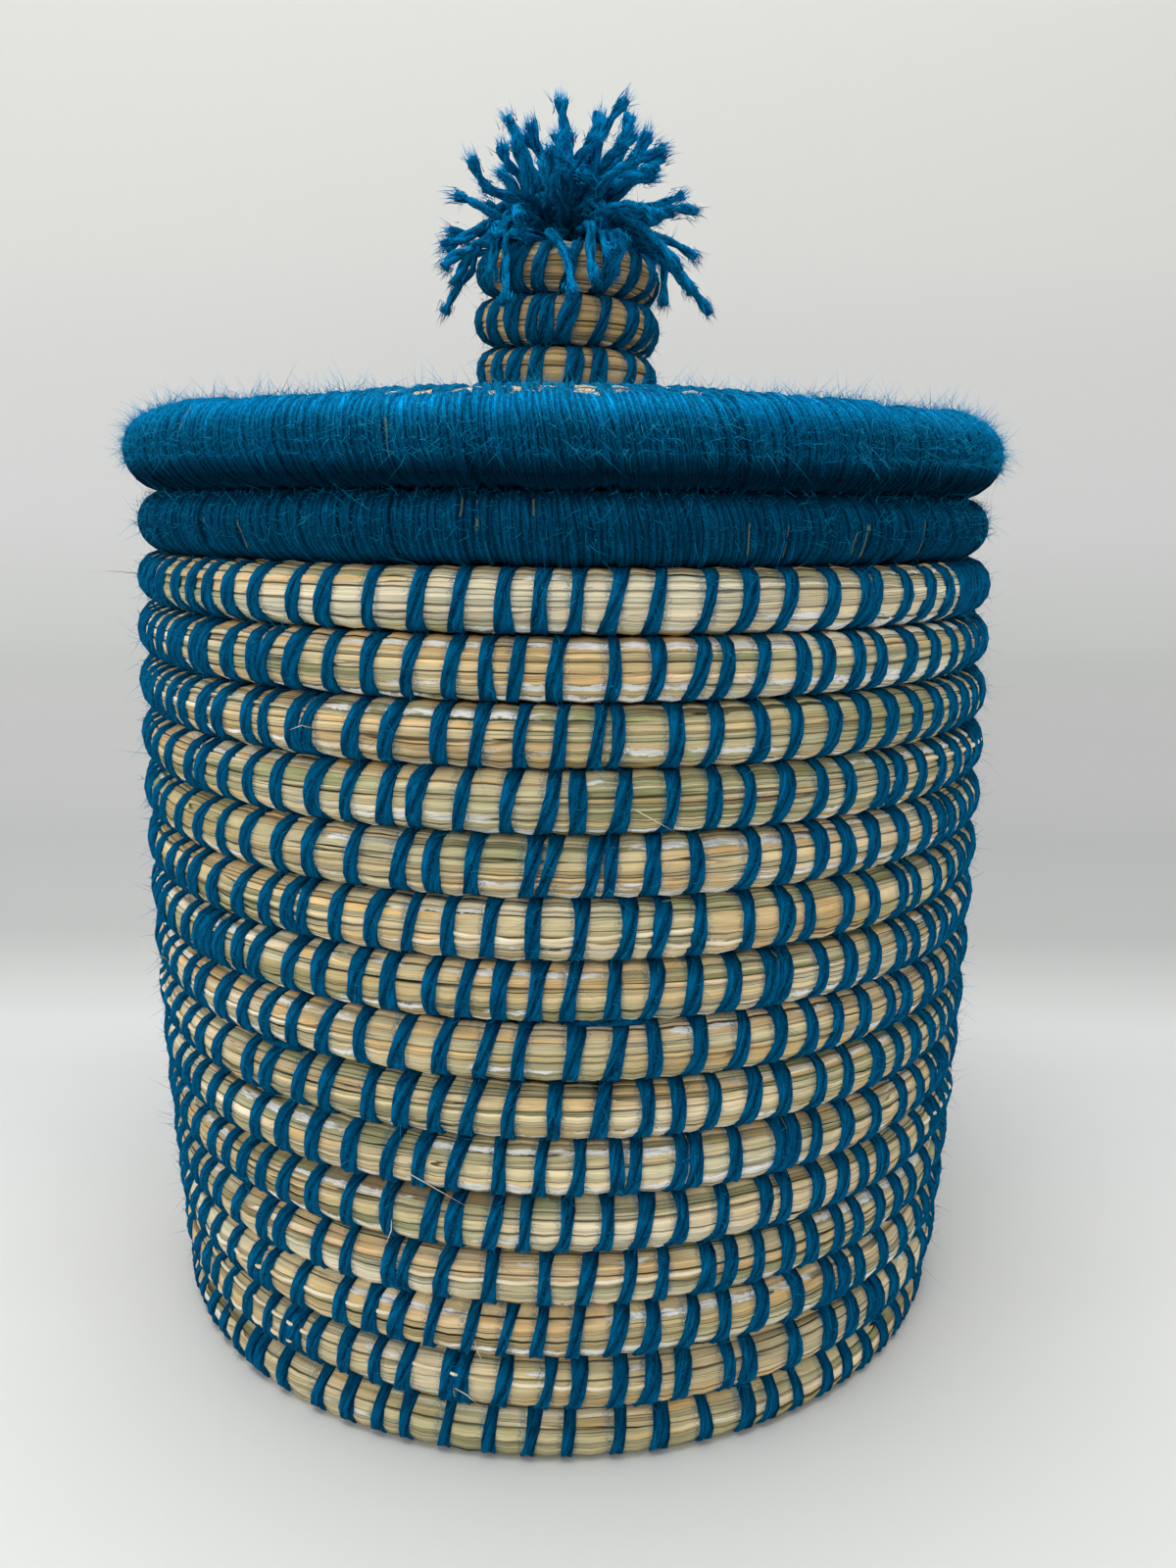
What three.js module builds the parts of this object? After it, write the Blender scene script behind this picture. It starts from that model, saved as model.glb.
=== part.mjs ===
import * as THREE from 'three';

// Lidded rush basket, in millimetres, +Z up, standing on z = 0 with its axis on the Z axis.
// One long bundle of rush is coiled into a base and a wall. Its rim row is wrapped in wool.
// A loose domed lid of the same coil sits on the rim and carries a coiled knob with a wool tassel.

// Driving dimensions of the coil of the body
const body = {
  pitch: 14,
  rowGap: 0.6,
  footRadius: 104,
  flare: 3.6,
  bellyBulge: 2.9,
  wallRows: 14,
  baseRows: 7,
  centreRadius: 0.9,
};

// The wool-wrapped rim row of the body
const rim = { inset: 0.8, wrapRadius: 7.6, wrapThickness: 2.1 };

// The lid: a domed coil, a thick wrapped rim row and a locating row under it
const lid = {
  overhang: 0.4,
  wrapRadius: 9.6,
  wrapThickness: 3,
  domeRise: 10,
  rows: 7,
  lipBundleRadius: 6.7,
};

// The coiled knob on the lid
const knob = { pitch: 13, rows: 3, radius: 18, narrowing: 0.6 };

// The tassel of wool yarn ends that stands in the knob
const tassel = {
  rings: 3,
  strandGap: 0.3,
  reach: 39,
  lift: 20,
  bendLength: 8,
  droop: 8,
  rootDrop: 4,
  tieHeight: 5,
  tieThickness: 1.3,
};

// Clearances
const seatClearance = 0.3;
const lipClearance = 1.5;
const tieClearance = 0.3;
const buttGap = 0.6;
const coreClearance = 0.3;

// Shares: how a turn climbs, how thin a run-out tip gets, how deep the base is cut flat
const climbShare = 0.95;
const tipShare = 0.12;
const tipWidthShare = 0.5;
const flatCutShare = 0.1;
const leanShare = 0.6;
const ringTiltShares = [0, 0.14, 0.32, 0.53];
const ringDroopShares = [0, 0.1, 0.4, 1];
const tiltSwayShare = 0.06;
const reachSwayShare = 0.12;

// Facets
const bundleSides = 6;
const stepsPerTurn = 24;
const innerStepsPerTurn = 12;
const innerTurns = 3;
const rimSides = 8;
const rimSteps = 48;
const strandSides = 5;
const strandSteps = 6;
const tieSegments = 24;
const tieSides = 6;

// Where the base coil passes into the wall coil, in turns: at the side of the basket
const splitShare = 0.25;

// Derived sizes
const cornerStation = body.baseRows - 0.5;
const centreStation = cornerStation - (body.footRadius - body.centreRadius) / body.pitch;
const bundleRadius = (body.pitch - body.rowGap) / 2;
const bundleDiameter = 2 * bundleRadius;
const rowHeight = bundleRadius - flatCutShare * bundleDiameter;
const rimFloor = rowHeight + (body.wallRows + 0.5) * body.pitch;
const rimHeight = rimFloor + rim.wrapRadius;
const lidRimHeight = rimHeight + rim.wrapRadius + seatClearance + lid.wrapRadius;
const rimRadius = body.footRadius + body.flare;
const wallTopRadius = rimRadius + rim.inset;
const lidRimRadius = rimRadius + lid.overhang;
const lidEdgeRadius = lidRimRadius - lid.wrapRadius;
const lidCentreStation = lid.rows - (lidEdgeRadius - body.centreRadius) / body.pitch;
const hexagonFlat = bundleRadius * Math.cos(Math.PI / bundleSides);
const lipRadius = rimRadius - rim.wrapRadius - lipClearance - lid.lipBundleRadius;
const knobBundleRadius = (knob.pitch - body.rowGap) / 2;
const knobFloor = lidHeightAt(knob.radius) + hexagonFlat;
const knobTop = knobFloor + knob.rows * knob.pitch;
const strandFoot = lidHeightAt(0) + hexagonFlat + seatClearance;

// The yarn ends fill the hollow of the knob inside their binding, laid as close as their gap.
const tieOuterRadius = knob.radius - knob.narrowing - knobBundleRadius - tieClearance;
const tieInnerRadius = tieOuterRadius - tassel.tieThickness;
const bunchRadius = tieInnerRadius - tieClearance;
const strandSpacing = (bunchRadius + tassel.strandGap / 2) / (tassel.rings + 0.5);
const strandRadius = (strandSpacing - tassel.strandGap) / 2;

// Colours of the dry rush and of the blue wool
const rushColour = 0xbfa878;
const rushShadeColour = 0xa8966a;
const woolColour = 0x0a5a8c;
const woolBrightColour = 0x0f74b4;

const rushMaterial = new THREE.MeshStandardMaterial({ color: rushColour, roughness: 0.75, metalness: 0 });
const rushCoreMaterial = new THREE.MeshStandardMaterial({ color: rushShadeColour, roughness: 0.8, metalness: 0 });
const woolMaterial = new THREE.MeshStandardMaterial({ color: woolColour, roughness: 0.95, metalness: 0 });
const tasselMaterial = new THREE.MeshStandardMaterial({ color: woolBrightColour, roughness: 0.95, metalness: 0 });

// A turn is counted from the back. The coil climbs mostly at the back and runs nearly level
// across the front, so the station, counted in rows, follows the turn with a sine added.
function stationAt(turn) {
  return turn + climbShare / (2 * Math.PI) * Math.sin(2 * Math.PI * turn);
}

// Seen from above the coil runs clockwise as it goes outward and up.
function angleAt(turn) {
  return Math.PI / 2 - 2 * Math.PI * turn;
}

// Rounds up a list of rings of points into one closed surface. Open lists get flat caps.
// A closed list joins its last ring to its first, which makes a pipe with an open bore.
function loft(rings, closed) {
  const sides = rings[0].length;
  const positions = rings.flat().flatMap((point) => [point.x, point.y, point.z]);
  const triangles = [];
  const spans = closed ? rings.length : rings.length - 1;
  for (let ring = 0; ring < spans; ring += 1) {
    const here = ring * sides;
    const next = ((ring + 1) % rings.length) * sides;
    for (let side = 0; side < sides; side += 1) {
      const beside = (side + 1) % sides;
      triangles.push([here + side, here + beside, next + beside]);
      triangles.push([here + side, next + beside, next + side]);
    }
  }
  if (!closed) {
    const last = (rings.length - 1) * sides;
    for (let side = 1; side < sides - 1; side += 1) {
      triangles.push([0, side + 1, side]);
      triangles.push([last, last + side, last + side + 1]);
    }
  }
  const geometry = new THREE.BufferGeometry();
  geometry.setAttribute('position', new THREE.Float32BufferAttribute(positions, 3));
  const points = rings.flat();
  const volume = triangles.reduce((sum, [a, b, c]) => {
    return sum + points[a].dot(new THREE.Vector3().crossVectors(points[b], points[c]));
  }, 0);
  const outward = volume > 0 ? triangles : triangles.map(([a, b, c]) => [a, c, b]);
  geometry.setIndex(outward.flat());
  geometry.computeVertexNormals();
  return geometry;
}

// A ring of a tube in the upright plane at an angle round the axis. along is the direction,
// in that plane, from one row to the next, and the ring is squeezed along it and across it.
function sectionRing({ radius, height, angle, along, sides, halfAlong, halfAcross, floor }) {
  const ring = [];
  for (let side = 0; side < sides; side += 1) {
    const turn = 2 * Math.PI * side / sides;
    const forward = halfAlong * Math.cos(turn);
    const sideways = halfAcross * Math.sin(turn);
    const r = radius + forward * Math.cos(along) - sideways * Math.sin(along);
    const z = height + forward * Math.sin(along) + sideways * Math.cos(along);
    ring.push(new THREE.Vector3(r * Math.cos(angle), r * Math.sin(angle), Math.max(z, floor)));
  }
  return ring;
}

// The turns at which a coil gets a ring: the inner turns of a flat spiral have fewer.
function coilTurns(from, to, sparseUntil) {
  const turns = [];
  let index = Math.round(from * stepsPerTurn);
  const end = Math.round(to * stepsPerTurn);
  while (index < end) {
    turns.push(index / stepsPerTurn);
    const sparse = index < sparseUntil * stepsPerTurn;
    index += sparse ? stepsPerTurn / innerStepsPerTurn : 1;
  }
  turns.push(end / stepsPerTurn);
  return turns;
}

// One unbroken coil. placeAt(station) gives the radius and height of its centre line,
// thicknessAt(station) the share of a full row that is left where the row runs out, and
// which way the thin row is moved to stay against its neighbour.
function coilRings({ from, to, sparseUntil, placeAt, thicknessAt, pitch, radius }) {
  return coilTurns(from, to, sparseUntil).map((turn) => {
    const station = stationAt(turn);
    const place = placeAt(station);
    const before = placeAt(station - 0.5);
    const after = placeAt(station + 0.5);
    const along = Math.atan2(after.height - before.height, after.radius - before.radius);
    const { share, shift } = thicknessAt(station, place);
    return sectionRing({
      radius: place.radius + shift * pitch * Math.cos(along),
      height: place.height + shift * pitch * Math.sin(along),
      angle: angleAt(turn),
      along,
      sides: bundleSides,
      halfAlong: share * pitch / 2 - (pitch / 2 - radius),
      halfAcross: radius * (tipWidthShare + (1 - tipWidthShare) * share),
      floor: 0,
    });
  });
}

// The least distance between parts of a coil that are more than half a turn apart,
// measured on its corner points and on the points midway between rings.
function leastGap(rings) {
  const layers = rings.map((ring, index) => {
    const next = rings[Math.min(index + 1, rings.length - 1)];
    return ring.flatMap((point, side) => [point, point.clone().lerp(next[side], 0.5)]);
  });
  let least = Infinity;
  for (let first = 0; first < layers.length; first += 1) {
    for (let second = first + innerStepsPerTurn / 2; second < layers.length; second += 1) {
      for (const a of layers[first]) {
        for (const b of layers[second]) {
          least = Math.min(least, a.distanceTo(b));
        }
      }
    }
  }
  return least;
}

// Where the centre line of the body's coil runs, row by row. Rows before the corner row lie
// flat on the ground. Above it each row stands one pitch over the last, on a wall that bellies
// out between its foot and the rim. The first row up swings round the corner row on a circle of
// one pitch, so that the climb at the back never comes closer than a pitch, and the swing
// outward dies out upward.
function bodyPlace(station) {
  const row = station - cornerStation;
  if (row < 0) {
    return { radius: body.footRadius + body.pitch * row, height: rowHeight };
  }
  const part = row - Math.floor(row);
  const swing = part * Math.PI / 2;
  const outward = body.pitch * (Math.cos(swing) - 1 + part);
  const rise = body.pitch * (Math.sin(swing) - part);
  const up = row / (body.wallRows + 0.5);
  return {
    radius: body.footRadius + (wallTopRadius - body.footRadius) * up
      + 4 * body.bellyBulge * up * (1 - up) + outward * (1 - row / (body.wallRows + 1)),
    height: rowHeight + body.pitch * row + rise,
  };
}

// Height of the lid coil's centre line at a radius: a shallow dome
function lidHeightAt(radius) {
  return lidRimHeight + lid.domeRise * (1 - (radius / lidEdgeRadius) ** 2);
}

function lidPlace(station) {
  const radius = lidEdgeRadius + body.pitch * (station - lid.rows);
  return { radius, height: lidHeightAt(radius) };
}

// The knob's rows stand on each other, the middle one widest.
function knobPlace(station) {
  const middle = knob.rows / 2;
  const offset = (station - middle) / middle;
  return {
    radius: knob.radius - knob.narrowing * offset * offset,
    height: knobFloor + knob.pitch * station,
  };
}

// A row that would climb past the level under the rim is thinned to end flush with it.
function wallThickness(station, place) {
  const under = place.height - body.pitch / 2;
  const share = Math.min(1, (rimFloor - under) / body.pitch);
  return { share, shift: (share - 1) / 2 };
}

// A coil is thinned where it would pass a lowest or highest station: a level face that it starts
// or ends on or, on a flat spiral, the axis that its first turn curls round.
function rowsThickness(low, high) {
  return (station) => {
    const under = Math.max(station - 0.5, low);
    const over = Math.min(station + 0.5, high);
    return { share: over - under, shift: (under + over) / 2 - station };
  };
}

// The turn at which a row has run out to its tip, searched one way from a full row
function runOut(turn, step, placeAt, thicknessAt) {
  let index = Math.round(turn * stepsPerTurn);
  const shareAt = (count) => {
    const station = stationAt(count / stepsPerTurn);
    return thicknessAt(station, placeAt(station)).share;
  };
  while (shareAt(index + step) > tipShare) {
    index += step;
  }
  return index / stepsPerTurn;
}

// The body's coil is one bundle: the base part passes into the wall part at a butt.
const splitTurn = body.baseRows - splitShare;
const lastTurn = body.baseRows + body.wallRows - 0.5;

function bodyCoil(from, to, sparseUntil, thicknessAt) {
  return coilRings({
    from,
    to,
    sparseUntil,
    placeAt: bodyPlace,
    thicknessAt,
    pitch: body.pitch,
    radius: bundleRadius,
  });
}

// Pulls the last ring of a list back so that two butted ends keep a gap.
function trimEnd(rings, gap) {
  const last = rings[rings.length - 1];
  const before = rings[rings.length - 2];
  const span = last[0].distanceTo(before[0]);
  return [...rings.slice(0, -1), last.map((point, side) => point.clone().lerp(before[side], gap / span))];
}

// A wrapped rim row: one turn of a round section, butted at the back.
function rimRings(radius, height, sectionRadius, sides, steps) {
  const butt = buttGap / 2 / radius;
  const rings = [];
  for (let step = 0; step <= steps; step += 1) {
    const around = Math.min(Math.max(2 * Math.PI * step / steps, butt), 2 * Math.PI - butt);
    rings.push(sectionRing({
      radius,
      height,
      angle: Math.PI / 2 - around,
      along: 0,
      sides,
      halfAlong: sectionRadius,
      halfAcross: sectionRadius,
      floor: 0,
    }));
  }
  return rings;
}

// The wool wrap is a pipe round the core: the outer rings one way, the bore's rings back.
function wrapGeometry(radius, height, outerRadius, thickness) {
  const outer = rimRings(radius, height, outerRadius, rimSides, rimSteps);
  const inner = rimRings(radius, height, outerRadius - thickness, rimSides, rimSteps);
  return loft([...outer, ...inner.reverse()], true);
}

function coreGeometry(radius, height, outerRadius, thickness) {
  const coreRadius = (outerRadius - thickness) * Math.cos(Math.PI / rimSides) - coreClearance;
  return loft(rimRings(radius, height, coreRadius, bundleSides, rimSteps), false);
}

// One yarn end of the tassel: straight up through the knob, then over in a cubic bend whose
// tilt grows from the middle of the bunch to its edge. Each lies in its own upright plane.
function strandCurve(ring, index, rootRadius, angle) {
  const sway = Math.sin(index * index + ring);
  const tilt = Math.PI * (ringTiltShares[ring] + (ring > 0 ? tiltSwayShare * sway : 0));
  const reach = tassel.reach * (1 - reachSwayShare * (1 + Math.cos(index * ring)) / 2);
  const droop = tassel.droop * ringDroopShares[ring];
  const bendHeight = knobTop - tassel.rootDrop;
  const lean = leanShare * tilt;
  const at = (r, z) => new THREE.Vector3(r * Math.cos(angle), r * Math.sin(angle), z);
  const foot = at(rootRadius, strandFoot);
  const bend = at(rootRadius, bendHeight);
  const rise = at(rootRadius, bendHeight + tassel.bendLength);
  const over = at(rootRadius + tassel.lift * Math.sin(lean), knobTop + tassel.lift * Math.cos(lean));
  const tip = at(reach * Math.sin(tilt), knobTop + reach * Math.cos(tilt) - droop);
  const path = new THREE.CurvePath();
  path.add(new THREE.LineCurve3(foot, bend));
  path.add(new THREE.CubicBezierCurve3(bend, rise, over, tip));
  return path;
}

// A round strand along its curve, with rings square to it and upright across its plane
function strandGeometry(path, angle) {
  const across = new THREE.Vector3(-Math.sin(angle), Math.cos(angle), 0);
  const places = [0];
  for (let step = 0; step <= strandSteps; step += 1) {
    places.push(1 + step / strandSteps);
  }
  const rings = places.map((place) => {
    const part = path.curves[place < 1 ? 0 : 1];
    const share = place < 1 ? place : place - 1;
    const centre = part.getPoint(share);
    const forward = part.getTangent(share);
    const normal = new THREE.Vector3().crossVectors(forward, across);
    const ring = [];
    for (let side = 0; side < strandSides; side += 1) {
      const turn = 2 * Math.PI * side / strandSides;
      ring.push(centre.clone()
        .addScaledVector(across, strandRadius * Math.cos(turn))
        .addScaledVector(normal, strandRadius * Math.sin(turn)));
    }
    return ring;
  });
  return loft(rings, false);
}

// The binding that holds the yarn ends together inside the knob
function tieGeometry() {
  const middle = (tieInnerRadius + tieOuterRadius) / 2;
  const half = tassel.tieThickness / 2;
  const profile = [];
  for (let side = 0; side <= tieSides; side += 1) {
    const turn = 2 * Math.PI * (side % tieSides) / tieSides;
    profile.push(new THREE.Vector2(
      middle + half * Math.cos(turn),
      strandFoot + tassel.tieHeight + half + half * Math.sin(turn),
    ));
  }
  const geometry = new THREE.LatheGeometry(profile, tieSegments);
  geometry.rotateX(Math.PI / 2);
  return geometry;
}

const group = new THREE.Group();
const bodyGroup = new THREE.Group();
const lidGroup = new THREE.Group();
group.add(bodyGroup, lidGroup);

function addPiece(parent, name, geometry, material) {
  const mesh = new THREE.Mesh(geometry, material);
  mesh.name = name;
  parent.add(mesh);
  return mesh;
}

function addCoil(parent, name, rings) {
  addPiece(parent, name, loft(rings, false), rushMaterial);
  console.log(`${name} least gap to itself ${leastGap(rings).toFixed(2)} mm`);
}

// Body: base coil, wall coil and wrapped rim
const baseThickness = rowsThickness(centreStation, Infinity);
const baseStart = runOut(0, -1, bodyPlace, baseThickness);
const wallEnd = runOut(lastTurn, 1, bodyPlace, wallThickness);
const baseRings = bodyCoil(baseStart, splitTurn, innerTurns, baseThickness);
const wallRings = bodyCoil(splitTurn, wallEnd, 0, wallThickness);
addCoil(bodyGroup, 'base_coil', trimEnd(baseRings, seatClearance));
addCoil(bodyGroup, 'wall_coil', wallRings);
addPiece(
  bodyGroup,
  'rim_core',
  coreGeometry(rimRadius, rimHeight, rim.wrapRadius, rim.wrapThickness),
  rushCoreMaterial,
);
addPiece(
  bodyGroup,
  'rim_wrap',
  wrapGeometry(rimRadius, rimHeight, rim.wrapRadius, rim.wrapThickness),
  woolMaterial,
);

// Lid: domed coil, wrapped rim, locating row and knob
const lidThickness = rowsThickness(lidCentreStation, lid.rows);
addCoil(lidGroup, 'lid_coil', coilRings({
  from: runOut(1, -1, lidPlace, lidThickness),
  to: runOut(lid.rows - 0.5, 1, lidPlace, lidThickness),
  sparseUntil: innerTurns,
  placeAt: lidPlace,
  thicknessAt: lidThickness,
  pitch: body.pitch,
  radius: bundleRadius,
}));
addPiece(
  lidGroup,
  'lid_rim_core',
  coreGeometry(lidRimRadius, lidRimHeight, lid.wrapRadius, lid.wrapThickness),
  rushCoreMaterial,
);
addPiece(
  lidGroup,
  'lid_rim_wrap',
  wrapGeometry(lidRimRadius, lidRimHeight, lid.wrapRadius, lid.wrapThickness),
  woolMaterial,
);
const lipHeight = lidHeightAt(lipRadius) - hexagonFlat - seatClearance - lid.lipBundleRadius;
addPiece(
  lidGroup,
  'lid_lip_row',
  loft(rimRings(lipRadius, lipHeight, lid.lipBundleRadius, bundleSides, stepsPerTurn), false),
  rushMaterial,
);

const knobThickness = rowsThickness(0, knob.rows);
const knobMiddle = Math.floor(knob.rows / 2) + 0.5;
addCoil(lidGroup, 'knob_coil', coilRings({
  from: runOut(knobMiddle, -1, knobPlace, knobThickness),
  to: runOut(knobMiddle, 1, knobPlace, knobThickness),
  sparseUntil: -1,
  placeAt: knobPlace,
  thicknessAt: knobThickness,
  pitch: knob.pitch,
  radius: knobBundleRadius,
}));

// Tassel: rings of yarn ends round one in the middle, laid out as a hexagon, and their binding
addPiece(lidGroup, 'tassel_tie', tieGeometry(), woolMaterial);
for (let ring = 0; ring <= tassel.rings; ring += 1) {
  const count = Math.max(1, bundleSides * ring);
  for (let index = 0; index < count; index += 1) {
    const side = Math.floor(index / Math.max(1, ring));
    const along = ring > 0 ? (index % ring) / ring : 0;
    const corner = (turn) => new THREE.Vector2(
      ring * strandSpacing * Math.cos(turn * Math.PI * 2 / bundleSides),
      ring * strandSpacing * Math.sin(turn * Math.PI * 2 / bundleSides),
    );
    const root = corner(side).lerp(corner(side + 1), along);
    const angle = Math.atan2(root.y, root.x);
    const path = strandCurve(ring, index, root.length(), angle);
    const name = `tassel_strand_${ring}_${String(index + 1).padStart(2, '0')}`;
    addPiece(lidGroup, name, strandGeometry(path, angle), tasselMaterial);
  }
}

export default group;
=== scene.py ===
import math

import bpy
import numpy as np
from mathutils import Matrix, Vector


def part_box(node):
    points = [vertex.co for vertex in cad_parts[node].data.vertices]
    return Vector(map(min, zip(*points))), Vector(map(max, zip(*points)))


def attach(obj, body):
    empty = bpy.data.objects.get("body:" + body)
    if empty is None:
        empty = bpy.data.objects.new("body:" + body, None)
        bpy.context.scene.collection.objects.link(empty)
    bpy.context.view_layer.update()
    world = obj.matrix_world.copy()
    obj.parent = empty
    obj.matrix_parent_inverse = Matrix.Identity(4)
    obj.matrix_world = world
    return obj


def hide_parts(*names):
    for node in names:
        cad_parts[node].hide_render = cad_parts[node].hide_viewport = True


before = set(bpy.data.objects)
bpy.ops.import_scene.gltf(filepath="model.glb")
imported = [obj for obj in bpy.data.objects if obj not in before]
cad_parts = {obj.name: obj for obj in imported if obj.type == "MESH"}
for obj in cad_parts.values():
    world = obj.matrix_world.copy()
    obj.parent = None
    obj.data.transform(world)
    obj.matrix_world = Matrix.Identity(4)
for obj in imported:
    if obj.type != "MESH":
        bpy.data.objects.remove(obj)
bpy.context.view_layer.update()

scene = bpy.context.scene
scene.view_settings.view_transform = "Standard"
rng = np.random.default_rng(41)
phaseSpan = 6.28         # a random phase lies between nought and this, about a full turn
print("frame loaded")


# mesh building


def facedMesh(name, flat, faceSets, material):
    # one mesh from flat points and sets of faces, each set with its own number of corners
    mesh = bpy.data.meshes.new(name)
    mesh.vertices.add(len(flat))
    mesh.vertices.foreach_set("co", flat.astype(np.float32).ravel())
    loops = np.concatenate([faces.ravel() for faces in faceSets])
    sizes = np.concatenate([np.full(len(faces), faces.shape[1]) for faces in faceSets])
    mesh.loops.add(len(loops))
    mesh.loops.foreach_set("vertex_index", loops.astype(np.int32))
    mesh.polygons.add(len(sizes))
    mesh.polygons.foreach_set("loop_start", (np.cumsum(sizes) - sizes).astype(np.int32))
    mesh.polygons.foreach_set("use_smooth", np.ones(len(sizes), dtype=bool))
    mesh.update(calc_edges=True)
    mesh.materials.append(material)
    piece = bpy.data.objects.new(name, mesh)
    scene.collection.objects.link(piece)
    return piece


def gridMesh(name, points, uv, material, closeRows=False, closeColumns=True, shades=None):
    # points: (copies, rows, columns, 3). Rows run along a piece and columns round it.
    # uv: (copies, rows + closeRows, columns + closeColumns, 2), so that a seam keeps its own value.
    copies, rows, columns = points.shape[:3]
    spanRows = rows if closeRows else rows - 1
    spanColumns = columns if closeColumns else columns - 1
    i, j = np.meshgrid(np.arange(spanRows), np.arange(spanColumns), indexing="ij")
    corners = [(i, j), (i, j + 1), (i + 1, j + 1), (i + 1, j)]
    quad = np.stack([(a % rows) * columns + b % columns for a, b in corners], -1).reshape(-1, 4)
    quadUv = np.stack([a * (columns + closeColumns) + b for a, b in corners], -1).reshape(-1, 4)
    caps = np.zeros((0, columns), dtype=int)
    if not closeRows and closeColumns:
        ring = np.arange(columns)
        caps = np.stack([ring[::-1], (rows - 1) * columns + ring])
    perCopy = rows * columns
    uvPerCopy = (rows + closeRows) * (columns + closeColumns)
    shift = np.arange(copies)[:, None, None]
    quads = (quad[None] + shift * perCopy).reshape(-1, 4)
    uvIndex = (quadUv[None] + shift * uvPerCopy).reshape(-1, 4)
    capFaces = (caps[None] + shift * perCopy).reshape(-1, columns) if len(caps) else caps
    flat = points.reshape(-1, 3)
    a, b, c, d = (flat[quads[:, k]] for k in range(4))
    volume = np.einsum("ij,ij->", a, np.cross(b, c)) + np.einsum("ij,ij->", a, np.cross(c, d))
    if volume < 0:
        quads, uvIndex, capFaces = quads[:, ::-1], uvIndex[:, ::-1], capFaces[:, ::-1]
    piece = facedMesh(name, flat, [quads, capFaces], material)
    layer = piece.data.uv_layers.new(name="UVMap")
    values = np.concatenate([uv.reshape(-1, 2)[uvIndex.ravel()], np.zeros((capFaces.size, 2))])
    layer.data.foreach_set("uv", values.astype(np.float32).ravel())
    for label, shade in (shades or {}).items():
        vector = shade.shape[-1] == 3 and shade.size == 3 * len(flat)
        attribute = piece.data.attributes.new(label, "FLOAT_VECTOR" if vector else "FLOAT", "POINT")
        attribute.data.foreach_set("vector" if vector else "value", shade.astype(np.float32).ravel())
    return piece


def together(*parts):
    # arrays of one value each, spread to a common shape and put side by side
    return np.stack(np.broadcast_arrays(*parts), -1)


def finishPiece(piece, body, slot, *nodes):
    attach(piece, body)
    if nodes:
        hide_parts(*nodes)
    return piece


# materials


def srgb(red, green, blue):
    # a colour as seen, 0 to 255 a channel, turned to the linear value that a shader takes
    channels = np.array([red, green, blue]) / 255
    linear = np.where(channels > 0.04045, ((channels + 0.055) / 1.055) ** 2.4, channels / 12.92)
    return (*linear.tolist(), 1.0)


def addNode(tree, kind, inputs=None, **settings):
    node = tree.nodes.new(kind)
    for key, value in settings.items():
        setattr(node, key, value)
    for key, value in (inputs or {}).items():
        if isinstance(value, bpy.types.NodeSocket):
            tree.links.new(value, node.inputs[key])
        else:
            node.inputs[key].default_value = value
    return node


def calc(tree, operation, first, second=0.0, third=0.0, clamp=False):
    node = addNode(tree, "ShaderNodeMath", {0: first, 1: second, 2: third}, operation=operation)
    node.use_clamp = clamp
    return node.outputs[0]


def times(tree, first, second):
    return calc(tree, "MULTIPLY", first, second)


def timesPlus(tree, first, second, third):
    return calc(tree, "MULTIPLY_ADD", first, second, third)


def minus(tree, first, second, clamp=False):
    return calc(tree, "SUBTRACT", first, second, clamp=clamp)


def apart(tree, value, middle):
    # how far a value is from a middle, either way
    return calc(tree, "ABSOLUTE", minus(tree, value, middle))


def vectorOf(tree, x, y=0.0, z=0.0):
    return addNode(tree, "ShaderNodeCombineXYZ", {0: x, 1: y, 2: z}).outputs[0]


def split(tree, vector):
    return addNode(tree, "ShaderNodeSeparateXYZ", {0: vector}).outputs


def objectPlace(tree):
    return addNode(tree, "ShaderNodeTexCoord").outputs["Object"]


def ownUv(tree):
    return addNode(tree, "ShaderNodeUVMap", uv_map="UVMap").outputs[0]


def attributeOf(tree, label, kind="Fac"):
    return addNode(tree, "ShaderNodeAttribute", attribute_name=label).outputs[kind]


def noiseOf(tree, vector, detail=2.0, scale=1.0, roughness=0.5):
    inputs = {"Vector": vector, "Scale": scale, "Detail": detail, "Roughness": roughness}
    return addNode(tree, "ShaderNodeTexNoise", inputs).outputs["Fac"]


def rangeOf(tree, value, low, high, toLow=0.0, toHigh=1.0):
    inputs = {0: value, 1: low, 2: high, 3: toLow, 4: toHigh}
    return addNode(tree, "ShaderNodeMapRange", inputs, clamp=True).outputs[0]


def mixSocket(node, label):
    return next(s for s in node.inputs if s.name == label and s.type == "RGBA")


def newGroup(name, inputs, outputs):
    tree = bpy.data.node_groups.new(name, "ShaderNodeTree")
    for label, kind in inputs:
        tree.interface.new_socket(name=label, in_out="INPUT", socket_type=kind)
    for label, kind in outputs:
        tree.interface.new_socket(name=label, in_out="OUTPUT", socket_type=kind)
    return tree, tree.nodes.new("NodeGroupInput"), tree.nodes.new("NodeGroupOutput")


def mixed(tree, factor, first, second, blend="MIX"):
    # the colour mix, whose sockets of one name are told apart by their type
    node = tree.nodes.new("ShaderNodeMix")
    node.data_type = "RGBA"
    node.blend_type = blend
    for socket, value in (
        (node.inputs[0], factor),
        (mixSocket(node, "A"), first),
        (mixSocket(node, "B"), second),
    ):
        if isinstance(value, bpy.types.NodeSocket):
            tree.links.new(value, socket)
        else:
            socket.default_value = value
    return next(s for s in node.outputs if s.type == "RGBA")


def shaded(tree, colour, tone):
    return mixed(tree, 1.0, colour, vectorOf(tree, tone, tone, tone), "MULTIPLY")


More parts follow.
